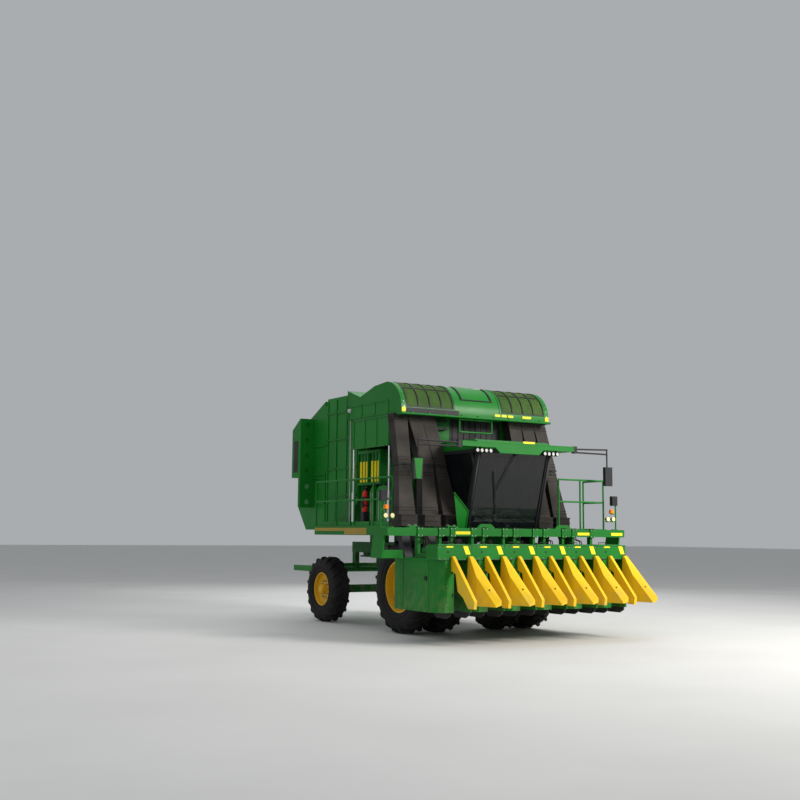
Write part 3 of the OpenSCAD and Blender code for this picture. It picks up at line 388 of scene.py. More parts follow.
# Pressed sheet of the units
bm = bmesh.new()
for x in ROWS:
    # Frame round each hood's front, and the lids on its top and behind it
    x0, x1 = x + HOUSE_X + 0.02, x + PANEL_X - 0.02
    for z in (HOOD_LOW + 0.006, HOOD_TOP - 0.012):
        add_box(bm, (x0, x1), (FRONT - 0.006, FRONT), (z, z + 0.008))
    add_box(bm, (x0 + 0.03, x1 - 0.03), (FRONT + 0.06, HOOD_BACK - 0.03),
            (HOOD_TOP, HOOD_TOP + 0.012))
    add_box(bm, (x0 + 0.06, x1 - 0.06), (FRONT + 0.10, HOOD_BACK - 0.07),
            (HOOD_TOP + 0.012, HOOD_TOP + 0.020))
    add_box(bm, (x - 0.17, x + 0.18), (HOOD_BACK + 0.06, HOOD_BACK + 0.50),
            (PLATE_TOP, PLATE_TOP + 0.010))
    # Upturned lip along the hood's front edge
    add_box(bm, (x + HOUSE_X, x + PANEL_X), (FRONT - 0.012, FRONT + 0.004),
            (HOOD_TOP - 0.010, HOOD_TOP + 0.008))
    # Door on the housing's front
    add_box(bm, (x - 0.362, x - 0.205), (FRONT - 0.008, FRONT), (UNIT_LOW + 0.12, HOOD_LOW - 0.10))
    # Flange down the side panel
    add_box(bm, (x + THROAT / 2 - 0.004, x + PANEL_X + 0.004), (FRONT - 0.010, FRONT + 0.03),
            (UNIT_LOW, HOOD_LOW))
# Folded edges of the two outer side panels
for side in ((ROWS[0] + HOUSE_X - 0.008, ROWS[0] + HOUSE_X),
             (ROWS[-1] + PANEL_X, ROWS[-1] + PANEL_X + 0.008)):
    for y in (Y(-2.390), Y(-1.450)):
        add_box(bm, side, (y, y + 0.030), (UNIT_LOW + 0.02, HOOD_LOW - 0.02))
    for z in (UNIT_LOW + 0.02, HOOD_LOW - 0.04):
        add_box(bm, side, (Y(-2.390), Y(-1.420)), (z, z + 0.020))
piece("hood_lids", bm, GREEN, HEADER, bevel=0.003)

bm = bmesh.new()
for x in ROWS:
    # Sight hole, drawn as a dark disc of painted shade for the shaded inside of the hole, and the
    # grab loop on the lid
    hole = Vector((x - 0.323, FRONT, HOOD_TOP - 0.130))
    add_rod(bm, hole - Vector((0, 0.003, 0)), hole + Vector((0, 0.002, 0)), 0.022, 20)
    grab = [(x + a, FRONT + 0.30, HOOD_TOP + b)
            for a, b in ((-0.25, 0.018), (-0.25, 0.055), (-0.05, 0.055), (-0.05, 0.018))]
    add_tube(bm, grab, 0.008)
    # Rubber bulb seal under the hood's lip
    add_tube(bm, [(x + HOUSE_X + 0.03, FRONT - 0.004, HOOD_LOW),
                  (x + PANEL_X - 0.01, FRONT - 0.004, HOOD_LOW)], 0.007, 8)
    # Latches of the doors
    for z in (UNIT_LOW + 0.30, HOOD_LOW - 0.26):
        add_box(bm, (x - 0.230, x - 0.212), (FRONT - 0.022, FRONT - 0.006), (z, z + 0.055))
# Latch on the right-hand outer panel
add_box(bm, (ROWS[0] + HOUSE_X - 0.022, ROWS[0] + HOUSE_X), (Y(-2.33), Y(-2.25)), (1.21, 1.29))
piece("hood_fittings_and_hole_shade", bm, DARK, HEADER, bevel=0.0015)

# Screws on the hoods, doors and flanges
bm = bmesh.new()
for x in ROWS:
    for z in (HOOD_LOW + 0.030, HOOD_TOP - 0.034):
        for dx in (HOUSE_X + 0.045, HOUSE_X + 0.16, PANEL_X - 0.045):
            add_bolt(bm, (x + dx, FRONT, z), (0, -1, 0), 0.009, 0.007)
    for z in (UNIT_LOW + 0.15, UNIT_LOW + 0.50, HOOD_LOW - 0.13):
        add_bolt(bm, (x - 0.348, FRONT - 0.008, z), (0, -1, 0), 0.008, 0.006)
        add_bolt(bm, (x + THROAT / 2 + 0.017, FRONT - 0.010, z), (0, -1, 0), 0.009, 0.006)
    # Screws on the hood's sides
    for y in (FRONT + 0.05, FRONT + 0.20, FRONT + 0.35):
        for z in (HOOD_LOW + 0.04, HOOD_TOP - 0.04):
            add_bolt(bm, (x + HOUSE_X, y, z), (-1, 0, 0), 0.008, 0.0015)
piece("unit_screws", bm, STEEL, HEADER)

# Flanges, caps and bolts of the gear cases behind the hoods
bm = bmesh.new()
for x in CASE_X:
    y0, z0 = HOOD_BACK, PLATE_TOP
    add_box(bm, near(x, 0.150), (y0 + 0.050, y0 + 0.450), (z0, z0 + 0.012))
    add_box(bm, near(x, 0.145), (y0 + 0.055, y0 + 0.445), (z0 + 0.050, z0 + 0.062))
    for dx in (-0.09, 0.0, 0.09):
        add_box(bm, near(x + dx, 0.006), (y0 + 0.052, y0 + 0.060), (z0 + 0.012, z0 + 0.088))
    for dy, r, top in ((0.170, 0.095, 0.160), (0.350, 0.060, 0.200)):
        for low, high, radius, sides in ((0.089, 0.104, r + 0.020, 32),
                                         (top - 0.016, top - 0.004, r + 0.006, 32),
                                         (top, top + 0.014, r * 0.6, 24),
                                         (top + 0.014, top + 0.030, r * 0.25, 12)):
            add_post(bm, x, y0 + dy, (z0 + low, z0 + high), radius, sides)
piece("gear_cases", bm, CAST, HEADER, bevel=0.003)
bm = bmesh.new()
for x in CASE_X:
    for dy, r, count in ((0.170, 0.105, 8), (0.350, 0.070, 6)):
        for k in range(count):
            a = math.tau * (k + 0.5) / count
            place = (x + r * math.cos(a), HOOD_BACK + dy + r * math.sin(a), PLATE_TOP + 0.104)
            add_bolt(bm, place, (0, 0, 1), 0.007, 0.007)
piece("case_bolts", bm, STEEL, HEADER)

# Yellow film on the beam
bm = bmesh.new()
for x0, x1 in ((-1.49, -1.00), (1.70, 2.16), (2.65, 2.97)):
    add_box(bm, (x0, x1), (BEAM_Y - FILM, BEAM_Y), (BEAM_Z + 0.035, BEAM_Z + 0.095))
piece("beam_strips", bm, PLATE_YELLOW, HEADER)

# Clamps that hold the hangers to the beam and to the units
bm = bmesh.new()
for x in HANGER_X:
    add_box(bm, (x - 0.03, x + 0.09), (BEAM_Y - 0.022, BEAM_Y), (BEAM_Z - 0.02, BEAM_TOP + 0.02))
    add_box(bm, (x - 0.03, x + 0.09), (BEAM_Y - 0.022, BEAM_Y + 0.172), (BEAM_TOP, BEAM_TOP + 0.02))
    add_box(bm, (x - 0.05, x + 0.11), (BEAM_Y - 0.01, BEAM_Y + 0.16),
            (PLATE_TOP, PLATE_TOP + 0.014))
piece("hanger_clamps", bm, GREEN, HEADER, bevel=0.003)
bm = bmesh.new()
for x in HANGER_X:
    for z in (BEAM_Z + 0.01, BEAM_TOP - 0.01):
        for ex in (-0.015, 0.075):
            add_bolt(bm, (x + ex, BEAM_Y - 0.022, z), (0, -1, 0), 0.012)
    for ex in (-0.032, 0.092):
        add_bolt(bm, (x + ex, BEAM_Y + 0.075, PLATE_TOP + 0.014), (0, 0, 1), 0.012)
# Pins of the two lift lugs
for x in (-2.43, -1.51):
    for ex in (-0.075, 0.075):
        add_bolt(bm, (x + ex, BEAM_Y + 0.075, BEAM_TOP + 0.045), (0, 0, 1), 0.026, 0.020)
piece("clamp_bolts", bm, STEEL, HEADER)

# Hoses along the beam with a drop to each gear case
bm = bmesh.new()
for k, x in enumerate(ROWS):
    for s in (0, 1):
        y = BEAM_Y + 0.182 + 0.030 * s
        end = (x - 0.395 + 0.050 * s, HOOD_BACK + 0.350, PLATE_TOP + 0.205)
        turn = (x - 0.255 + 0.05 * s, y + 0.02, BEAM_TOP - 0.06)
        start = (0.10 if x > 0 else -0.10, y, BEAM_TOP - 0.02 + 0.012 * (k % 3))
        middle = ((start[0] + turn[0]) / 2, y, BEAM_TOP - 0.035 + 0.012 * (k % 3))
        keys = [start, middle, turn, (turn[0], BEAM_Y + 0.10, BEAM_Z - 0.05),
                (end[0] + 0.02, end[1] + 0.02, BEAM_Z - 0.10), end]
        add_tube(bm, curve_points(keys, 9), 0.011, 8)
piece("beam_hoses", bm, RUBBER, HEADER, smooth=True)
bm = bmesh.new()
for x in [i * 0.5 - 2.25 for i in range(10)]:
    add_box(bm, near(x, 0.012), (BEAM_Y + 0.150, BEAM_Y + 0.232),
            (BEAM_TOP - 0.066, BEAM_TOP - 0.052))
    add_box(bm, near(x, 0.012), (BEAM_Y + 0.226, BEAM_Y + 0.234),
            (BEAM_TOP - 0.066, BEAM_TOP + 0.015))
piece("hose_clips", bm, STEEL, HEADER, bevel=0.001)

# Marker lamps on posts at both ends of the beam
for s, side, x, y in ((-1, "right", -3.010, Y(-1.400)), (1, "left", 2.850, BEAM_Y + 0.075)):
    pair = [Vector((x - s * dx, y, BEAM_TOP + 0.235)) for dx in (0.095, 0.250)]
    bm = bmesh.new()
    add_tube(bm, [(x, y, BEAM_TOP), (x, y, BEAM_TOP + 0.62)], 0.016, 12)
    add_box(bm, sorted((x - s * 0.100, x + s * 0.020)), near(y, 0.045),
            (BEAM_TOP, BEAM_TOP + 0.012))
    for z, out in ((BEAM_TOP + 0.17, 0.31), (BEAM_TOP + 0.34, 0.15)):
        add_box(bm, sorted((x - s * out, x)), near(y, 0.012), (z, z + 0.020))
    piece("marker_post_" + side, bm, GREEN, HEADER, bevel=0.002)
    bm = bmesh.new()
    add_post(bm, x - s * 0.120, y, (BEAM_TOP + 0.360, BEAM_TOP + 0.450), 0.058, 28, 0.046)
    piece("marker_lamp_" + side, bm, ORANGE, HEADER, bevel=0.012)
    bm = bmesh.new()
    for c in pair:
        add_rod(bm, c - Vector((0, 0.045, 0)), c - Vector((0, 0.030, 0)), 0.046, 24)
    piece("pair_lens_" + side, bm, AMBER, HEADER, bevel=0.004)
    bm = bmesh.new()
    for c in pair:
        add_rod(bm, c - Vector((0, 0.032, 0)), c + Vector((0, 0.035, 0)), 0.052, 24, 0.034)
    # Work lamp on the post's head
    add_box(bm, sorted((x - s * 0.13, x + s * 0.018)), (y - 0.05, y + 0.04),
            (BEAM_TOP + 0.53, BEAM_TOP + 0.74))
    piece("pair_cans_" + side, bm, DARK, HEADER, bevel=0.002)

# Bolts on the blades' roots
bm = bmesh.new()
for x in ROWS:
    for z in (1.45, 1.53, 1.62):
        add_bolt(bm, (x - THROAT / 2 - 0.07, FRONT - 0.030, z), (-1, 0, 0), 0.010, 0.004)
piece("blade_bolts", bm, STEEL, HEADER)

# Drain hole low on each nose, drawn as a dark disc: painted shade for the shaded inside of the hole
bm = bmesh.new()
facet = Vector((-0.407, -0.755, 0.514))  # points out of the nose's outer face
for x in ROWS:
    p = Vector((x + 0.222, Y(-3.282), 1.055))
    add_rod(bm, p - facet * 0.006, p + facet * 0.002, 0.017, 20)
piece("nose_hole_shades", bm, DARK, HEADER)

# ---- cab ----
CAB_X = 0.930
CAB_TOP = 3.840
CAB_LOW = 2.100
CAB_FLOOR = 2.160
ROOF_TOP = CAB_TOP + 0.20
VISOR_Y = Y(-1.950)
LAMPS = [Vector((s * (0.70 + 0.11 * k), Y(-1.890), CAB_TOP - 0.046))
         for s in SIDES for k in range(4)]


def screen_y(z):
    """The windscreen's outer face at a height."""
    return Y(-1.290 - 0.500 * (z - CAB_LOW) / 1.740)


# Rubber seal round the windscreen
bm = bmesh.new()
low, high = CAB_LOW + 0.09, CAB_TOP - 0.07
inner = [(-CAB_X + 0.07, low), (CAB_X - 0.07, low), (CAB_X - 0.07, high), (-CAB_X + 0.07, high)]
path = [(x, screen_y(z) - 0.002, z) for x, z in inner + inner[:1]]
for a, b in zip(path, path[1:]):
    add_tube(bm, [a, b], 0.014)
# Wiper with its arm and spindle, and its blade
pivot = Vector((0.0, screen_y(CAB_TOP - 0.10) - 0.03, CAB_TOP - 0.10))
tip = Vector((-0.36, screen_y(2.95) - 0.025, 2.95))
add_rod(bm, pivot + Vector((0, 0.05, 0)), pivot - Vector((0, 0.02, 0)), 0.026, 16)
add_tube(bm, [pivot, tip], 0.009, 8)
blade = [(x, screen_y(z) - 0.014, z) for x, z in ((-0.47, 3.38), (-0.25, 2.52))]
add_tube(bm, blade, 0.010, 8)
piece("screen_seal", bm, DARK, MACHINE)

# Corner posts' covers
bm = bmesh.new()
for s in SIDES:
    post = [(s * (CAB_X - 0.02), screen_y(z) - 0.004, z) for z in (CAB_LOW + 0.02, CAB_TOP - 0.02)]
    add_tube(bm, post, 0.030, 14)
piece("corner_posts", bm, DARK, MACHINE, smooth=True)

# Roof: lid, ribs and the visor's edge
bm = bmesh.new()
add_box(bm, (-0.55, 0.55), (Y(-1.42), Y(-0.42)), (ROOF_TOP, CAB_TOP + 0.215))
for x in (-0.86, 0.86):
    add_box(bm, near(x, 0.02), (Y(-1.60), Y(-0.20)), (ROOF_TOP, CAB_TOP + 0.212))
add_box(bm, (-1.42, 1.42), (VISOR_Y - 0.004, VISOR_Y + 0.02), (CAB_TOP + 0.108, CAB_TOP + 0.130))
piece("roof_panels", bm, GREEN, MACHINE, bevel=0.006)

# Lamps under the visor
bm = bmesh.new()
for c in LAMPS:
    add_rod(bm, c - Vector((0, 0.006, 0)), c + Vector((0, 0.002, 0)), 0.038, 24)
piece("work_lenses", bm, LENS, MACHINE, bevel=0.003)
bm = bmesh.new()
for c in LAMPS:
    rim = [c + Vector((0.041 * math.cos(t), -0.008, 0.041 * math.sin(t)))
           for t in (math.tau * a / 20 for a in range(21))]
    for a, b in zip(rim, rim[1:]):
        add_tube(bm, [a, b], 0.004, 6)
piece("lens_rims", bm, DARK, MACHINE)

# Blank plate on the visor
bm = bmesh.new()
add_box(bm, (0.08, 0.38), (VISOR_Y - 0.007, VISOR_Y - 0.0041), (CAB_TOP + 0.135, CAB_TOP + 0.175))
piece("visor_plate", bm, PLATE_YELLOW, MACHINE)

# Cover of the right-hand mirror
bm = bmesh.new()
cover = [(-2.548, 3.568), (-2.352, 3.568), (-2.385, 3.165), (-2.500, 3.165)]
add_loft(bm, [[(x, y, z) for x, z in cover] for y in (Y(-1.908), Y(-1.900))])
piece("mirror_cover", bm, GREEN, MACHINE, bevel=0.003)

# Guard beside the windscreen, with a tube along its edge and two brackets
bm = bmesh.new()
guard = [(-1.372, 2.930), (-0.945, 2.560), (-0.945, 2.160), (-1.130, 2.160)]
add_loft(bm, [[(x, screen_y(z) - out, z) for x, z in guard] for out in (0.014, 0.006)])
add_tube(bm, [(x, screen_y(z) - 0.018, z) for x, z in guard[:3]], 0.014)
for z in (2.20, 2.46):
    add_box(bm, (-0.960, -CAB_X + 0.005), (screen_y(z) - 0.012, screen_y(z) + 0.060),
            (z, z + 0.030))
piece("side_guard", bm, GREEN, MACHINE)

# Mirror glasses
bm = bmesh.new()
for s in SIDES:
    add_box(bm, span(s, 2.365, 2.535), (Y(-1.820) + 0.0001, Y(-1.817)),
            (CAB_TOP - 0.66, CAB_TOP - 0.30))
piece("mirror_glass", bm, CHROME, MACHINE, bevel=0.001)


def cushion(name, size, place, lean=0.0):
    """A stuffed cushion with rounded sides and two sewn grooves."""
    bm = bmesh.new()
    bmesh.ops.create_cube(bm, size=1.0)
    bmesh.ops.subdivide_edges(bm, edges=bm.edges, cuts=9, use_grid_fill=True)
    for v in bm.verts:
        x, y, z = v.co * 2
        puff = (1 - x ** 4) * (1 - y ** 4) * 0.16 if abs(z) > 0.99 else 0.0
        round_x = 1 - 0.10 * abs(y) ** 3 - 0.10 * abs(z) ** 3
        round_y = 1 - 0.10 * abs(x) ** 3 - 0.10 * abs(z) ** 3
        groove = -0.035 if abs(z) > 0.99 and abs(abs(x) - 0.6) < 0.06 else 0.0
        z += math.copysign(puff + groove, z)
        v.co = Vector((x * round_x * size[0], y * round_y * size[1], z * size[2])) / 2
    turn = Matrix.Translation(place) @ Matrix.Rotation(lean, 4, "X")
    bmesh.ops.transform(bm, matrix=turn, verts=bm.verts)
    obj = piece(name, bm, SEAT, MACHINE, smooth=True)
    return obj


cushion("seat_pad", (0.50, 0.50, 0.11), (0, Y(-0.56), CAB_FLOOR + 0.50))
cushion("seat_back", (0.48, 0.11, 0.66), (0, Y(-0.365), CAB_FLOOR + 0.80), -0.145)

# Screen and hand control on the console
bm = bmesh.new()
add_box(bm, (-0.50, -0.34), (Y(-1.02), Y(-0.96)), (2.72, 2.96))
add_post(bm, -0.42, Y(-0.80), (2.72, 2.84), 0.016, 12)
add_post(bm, -0.42, Y(-0.80), (2.82, 2.90), 0.030)
piece("console_screen", bm, DARK, MACHINE, bevel=0.006)

# ---- ducts ----
# At each duct's head, bend and foot: its middle in X, and the height, width and Y of these
DUCT_X = [[-1.850, -1.990, -2.220], [-1.505, -1.420, -1.660], [-1.160, -1.100, -1.150],
          [1.160, 1.190, 1.240], [1.505, 1.600, 1.720], [1.850, 2.010, 2.200]]
DUCT_Z = [4.640, 3.560, 2.480]
DUCT_W = [0.310, 0.270, 0.390]
DUCT_Y_RIGHT = [Y(-0.060), Y(-0.490), Y(-1.000)]
DUCT_Y_LEFT = [Y(-0.060), Y(-0.300), Y(-0.420)]


def duct_at(xs, z):
    """X, Y and width of a duct at a height."""
    ys = DUCT_Y_RIGHT if xs[0] < 0 else DUCT_Y_LEFT
    k = 0 if z > DUCT_Z[1] else 1
    t = (DUCT_Z[k] - z) / (DUCT_Z[k] - DUCT_Z[k + 1])
    return [v[k] + (v[k + 1] - v[k]) * t for v in (xs, ys, DUCT_W)]


def ring(bm, x, y, z, w, d, h, thick):
    """A rectangular hoop round a duct."""
    for s in SIDES:
        add_box(bm, near(x, w / 2 + thick), sorted((y + s * d / 2, y + s * (d / 2 + thick))),
                (z, z + h))
        add_box(bm, sorted((x + s * w / 2, x + s * (w / 2 + thick))), near(y, d / 2), (z, z + h))


# Folds of the rubber
bm = bmesh.new()
for xs in DUCT_X:
    for z in (2.56, 2.62, 3.30, 3.36, 3.62, 3.68, 4.46, 4.52):
        x, y, w = duct_at(xs, z + 0.01)
        grow = 0.032 if z > 3.56 else 0.002
        ring(bm, x, y, z, w + grow, 0.220 + grow, 0.020, 0.008)
    # Rolled foot of the boot
    y = duct_at(xs, DUCT_Z[2])[1]
    for z in (2.240, 2.345, 2.450):
        ring(bm, xs[2], y, z, 0.380, 0.400, 0.030, 0.008)
piece("duct_ribs", bm, RUBBER, MACHINE, bevel=0.003)

# Clamps at the bends, with their locks, and at the heads
bm = bmesh.new()
for xs in DUCT_X:
    x, y, w = duct_at(xs, 3.525)
    for z in (3.445, 3.520):
        ring(bm, x, y, z, w + 0.024, 0.250, 0.035, 0.008)
        add_box(bm, near(x, 0.03), (y - 0.148, y - 0.132), (z + 0.005, z + 0.030))
    x, y, w = duct_at(xs, 4.60)
    ring(bm, x, y, 4.585, w + 0.036, 0.258, 0.040, 0.005)
piece("duct_clamps", bm, DARK, MACHINE, bevel=0.001)

# ---- accumulator ----
ACC_X, ACC_TOP, ACC_R, LIP = 1.960, 5.360, 0.660, 4.640
ARC_Y, ARC_Z = Y(0.240), ACC_TOP - ACC_R
ARC_LOW = LIP + 0.13
ACC_FRONT = ARC_Y - ACC_R
BOX_Y = Y(0.082)  # front of the box under the curved front


def arc(t, r):
    """A point on the curved front, from the lip (0) over the arc (1) to the crest."""
    straight = ARC_Z - ARC_LOW
    total = straight + math.pi / 2 * ACC_R
    run = t * total
    if run < straight:
        return ARC_Y - r, ARC_LOW + run
    a = (run - straight) / ACC_R
    return ARC_Y - r * math.cos(a), ARC_Z + r * math.sin(a)


def arc_band(bm, x, t0, t1, low, high, steps=20):
    """A band along the curved front, between two heights over its surface."""
    rings = []
    for k in range(steps + 1):
        t = t0 + (t1 - t0) * k / steps
        inner, outer = arc(t, ACC_R + low), arc(t, ACC_R + high)
        rings.append([(x[0], *inner), (x[1], *inner), (x[1], *outer), (x[0], *outer)])
    add_loft(bm, rings)


# Frames of the two mesh screens
bm = bmesh.new()
for s in SIDES:
    for x in (0.652 + 0.294 * k for k in range(5)):
        arc_band(bm, span(s, x - 0.014, x + 0.014), 0.0, 1.0, -0.022, 0.008)
    for t in (0.0, 0.509, 0.972):
        arc_band(bm, span(s, 0.640, 1.840), t, t + 0.028, -0.020, 0.006, 2)
piece("screen_ribs", bm, DARK, MACHINE, bevel=0.003)

# Woven wires of the screens
bm = bmesh.new()
for s in SIDES:
    for k in range(96):
        x = 0.660 + (1.820 - 0.660) * k / 95
        arc_band(bm, span(s, x - 0.0015, x + 0.0015), 0.01, 0.99, -0.012, -0.008, 16)
    for k in range(66):
        t = 0.02 + 0.96 * k / 65
        arc_band(bm, span(s, 0.650, 1.830), t, t + 0.0022, -0.0125, -0.0085, 1)
piece("screen_wires", bm, SCREEN, MACHINE)

# Tube along the lip on its brackets, turned back at both ends
bm = bmesh.new()
y = ACC_FRONT - 0.045
keys = [(-ACC_X + 0.02, y + 0.30), (-ACC_X + 0.03, y + 0.05), (-1.80, y), (0, y),
        (1.80, y), (ACC_X - 0.03, y + 0.05), (ACC_X - 0.02, y + 0.30)]
add_tube(bm, curve_points([(a, b, LIP - 0.02) for a, b in keys], 8), 0.024, 12)
for k in range(9):
    x = -1.70 + 0.425 * k
    add_box(bm, near(x, 0.02), (y + 0.012, y + 0.075), (LIP - 0.035, LIP + 0.03))
# Frames pressed into the end plates, and the seams beside the middle panel
for s in SIDES:
    side = span(s, ACC_X, ACC_X + 0.012)
    for z in (LIP + 0.02, LIP + 0.30):
        add_box(bm, side, (Y(0.16), Y(1.96)), (z, z + 0.03))
    for yy in (0.12, 0.70, 1.30, 1.93):
        add_box(bm, side, (Y(yy), Y(yy + 0.03)), (LIP + 0.02, LIP + 0.33))
    for yy in (0.10, 0.62, 1.14, 1.66):
        add_box(bm, side, (Y(yy), Y(yy + 0.035)), (3.98, LIP - 0.01))
    for z in (3.97, LIP - 0.04):
        add_box(bm, side, (Y(0.09), Y(1.69)), (z, z + 0.03))
for x in (-0.60, 0.60):
    arc_band(bm, near(x, 0.02), 0.0, 0.99, 0.0, 0.010)
piece("accumulator_ribs", bm, GREEN, MACHINE, bevel=0.004)

# Dark hatch frame on the middle panel
bm = bmesh.new()
for x in (-0.42, 0.38):
    arc_band(bm, (x, x + 0.04), 0.25, 0.80, -0.002, 0.020)
arc_band(bm, (-0.42, 0.42), 0.25, 0.275, -0.002, 0.020, 3)
# Two bars behind the right-hand ducts
for z in (LIP - 0.10, LIP - 0.28):
    add_box(bm, (-1.88, -0.55), (Y(-0.02), Y(0.075)), (z, z + 0.05))
# Dark strip along the lip over these ducts: painted shade for the gap between the lip and the tube.
# And the ribbed cover behind the tube frame
add_box(bm, (-1.84, -0.50), (ACC_FRONT - 0.006, ACC_FRONT + 0.004), (LIP + 0.010, LIP + 0.115))
add_box(bm, (-0.42, 0.95), (BOX_Y - 0.008, BOX_Y), (3.985, LIP - 0.015))
for k in range(9):
    x = -0.36 + 0.155 * k
    add_box(bm, (x, x + 0.020), (BOX_Y - 0.022, BOX_Y - 0.008), (4.010, LIP - 0.040))
piece("hatch_frame_and_gap_shade", bm, DARK, MACHINE, bevel=0.003)

# Post and lamp of the end plate's rear corner
bm = bmesh.new()
add_tube(bm, [(-1.938, Y(1.88), 2.240), (-1.938, Y(1.88), LIP)], 0.014, 12)
piece("corner_post", bm, STEEL, MACHINE)
bm = bmesh.new()
add_rod(bm, (-ACC_X, Y(1.87), 4.867), (-ACC_X - 0.045, Y(1.87), 4.867), 0.050, 28, 0.042)
piece("end_lamp", bm, LENS, MACHINE, bevel=0.004)

# Blank plates along the lip
bm = bmesh.new()
for s in SIDES:
    add_box(bm, span(s, 1.86, 1.955), (ACC_FRONT - FILM, ACC_FRONT), (LIP + 0.02, LIP + 0.115))
for x0, x1 in ((0.46, 0.60), (0.64, 0.78), (0.82, 0.96), (1.22, 1.46)):
    add_box(bm, (x0, x1), (ACC_FRONT - FILM, ACC_FRONT), (LIP + 0.05, LIP + 0.10))
piece("accumulator_plates", bm, PLATE_YELLOW, MACHINE)

# Bolts round the end plates and along the lip
bm = bmesh.new()
for s in SIDES:
    for k in range(9):
        y, z = arc(k / 8.5, 1.0)
        out = (0, y - ARC_Y, z - ARC_Z if k > 0 else 0)
        add_bolt(bm, (s * 1.90, *arc(k / 8.5, ACC_R)), out, 0.011, 0.008)
    for yy in [0.17 + 0.15 * k for k in range(11)]:
        for z in (3.985, LIP - 0.025):
            add_bolt(bm, (s * (ACC_X + 0.012), Y(yy), z), (s, 0, 0), 0.009, 0.007)
for k in range(9):
    add_bolt(bm, (-1.70 + 0.425 * k, ACC_FRONT, LIP + 0.02), (0, -1, 0), 0.009, 0.007)
piece("accumulator_bolts", bm, STEEL, MACHINE)

# Yellow covers on the feeder's slats
bm = bmesh.new()
for k in range(6):
    y = Y(1.245 + 0.140 * k + 0.100 * (k > 2))
    add_box(bm, (-1.562, -1.550), near(y, 0.044), (3.245, 3.720))
    for dy in (-0.028, 0.0, 0.028):
        add_post(bm, -1.562, y + dy, (3.250, 3.715), 0.009, 10)
piece("slat_covers", bm, PLATE_YELLOW, MACHINE)

# ---- decks ----
DECK_Z, DECK_X = 2.240, 1.970
EDGE_X = DECK_X + 0.030  # outside of the edge plates

# Coloured stripes on the edge plates
bm = bmesh.new()
for s in SIDES:
    x = span(s, EDGE_X, EDGE_X + FILM)
    add_box(bm, x, (Y(0.97), Y(3.49)), (DECK_Z - 0.100, DECK_Z - 0.030))
    add_box(bm, x, (Y(0.97), Y(2.00)), (DECK_Z - 0.175, DECK_Z - 0.100))
piece("deck_stripes", bm, GOLD, MACHINE)

# Blank plates on the front ends of the decks
bm = bmesh.new()
for s in SIDES:
    add_box(bm, span(s, DECK_X + 0.005, EDGE_X), (Y(-0.153), Y(-0.150)), (DECK_Z - 0.17, DECK_Z))
piece("deck_end_plates", bm, PLATE_YELLOW, MACHINE)


def studs(bm, x0, x1, y0, y1, z):
    """Raised grip studs over a floor, turned to and fro by quarter turns."""
    pitch = 0.055
    nx, ny = int((x1 - x0) / pitch), int((y1 - y0) / pitch)
    for i in range(nx):
        for j in range(ny):
            x, y = x0 + (i + 0.5) * (x1 - x0) / nx, y0 + (j + 0.5) * (y1 - y0) / ny
            a = 0.016 if (i + j) % 2 else 0.005
            b = 0.021 - a
            foot = [bm.verts.new(p)
                    for p in ((x - a, y, z), (x, y - b, z), (x + a, y, z), (x, y + b, z))]
            tip = bm.verts.new((x, y, z + 0.004))
            for k in range(4):
                bm.faces.new((foot[k], foot[(k + 1) % 4], tip))
            bm.faces.new(foot[::-1])


# Grip studs on the decks and the landing
bm = bmesh.new()
for s in SIDES:
    studs(bm, *span(s, 1.66, 1.95), Y(0.02), Y(3.48), DECK_Z)
studs(bm, 0.95, 2.63, Y(-1.42), Y(-0.80), 2.225)
piece("deck_grip", bm, CAST, MACHINE)

# Toe boards, and the sockets of the handrails' posts
bm = bmesh.new()
for s, boards in ((-1, (0.02, 0.89, 1.75, 2.61)), (1, (2.61,))):
    for yy in boards:
        add_box(bm, span(s, DECK_X + 0.006, DECK_X + 0.012), (Y(yy), Y(yy) + 0.80),
                (DECK_Z + 0.02, DECK_Z + 0.11))
for x, posts in ((-1.985, (-0.11, 0.70, 1.56, 2.42, 3.46)),
                 (1.985, (1.8, 2.6, 3.46, 1.0, 0.3, -0.11))):
    for yy in posts:
        add_box(bm, (x - 0.016, x + 0.014), near(Y(yy), 0.045), (DECK_Z + 0.0201, DECK_Z + 0.028))
        add_post(bm, x, Y(yy), (DECK_Z + 0.028, DECK_Z + 0.075), 0.026)
piece("rail_sockets", bm, GREEN, MACHINE, bevel=0.002)

# Extinguisher on its stand behind the water tank
bm = bmesh.new()
x, y, z = -1.905, Y(1.22), DECK_Z + 0.32
add_post(bm, x, y, (z, z + 0.42), 0.062, 28)
add_post(bm, x, y, (z + 0.42, z + 0.48), 0.062, 28, 0.022)
piece("extinguisher", bm, RED, MACHINE, bevel=0.004)
bm = bmesh.new()
add_post(bm, x, y, (z + 0.48, z + 0.53), 0.020)
add_box(bm, near(x, 0.012), (y - 0.09, y + 0.03), (z + 0.53, z + 0.555))
hose = ((0.03, 0.51), (0.11, 0.46), (0.085, 0.25), (0.075, 0.10))
add_tube(bm, curve_points([(x, y + a, z + b) for a, b in hose], 8), 0.009, 8)
add_box(bm, (x - 0.085, x - 0.060), near(y, 0.045), (z + 0.10, z + 0.32))
for height in (0.13, 0.31):
    ring(bm, x, y, z + height, 0.126, 0.126, 0.022, 0.004)
add_box(bm, near(x, 0.07), near(y, 0.07), (DECK_Z, z))
piece("extinguisher_fittings", bm, DARK, MACHINE, bevel=0.001)

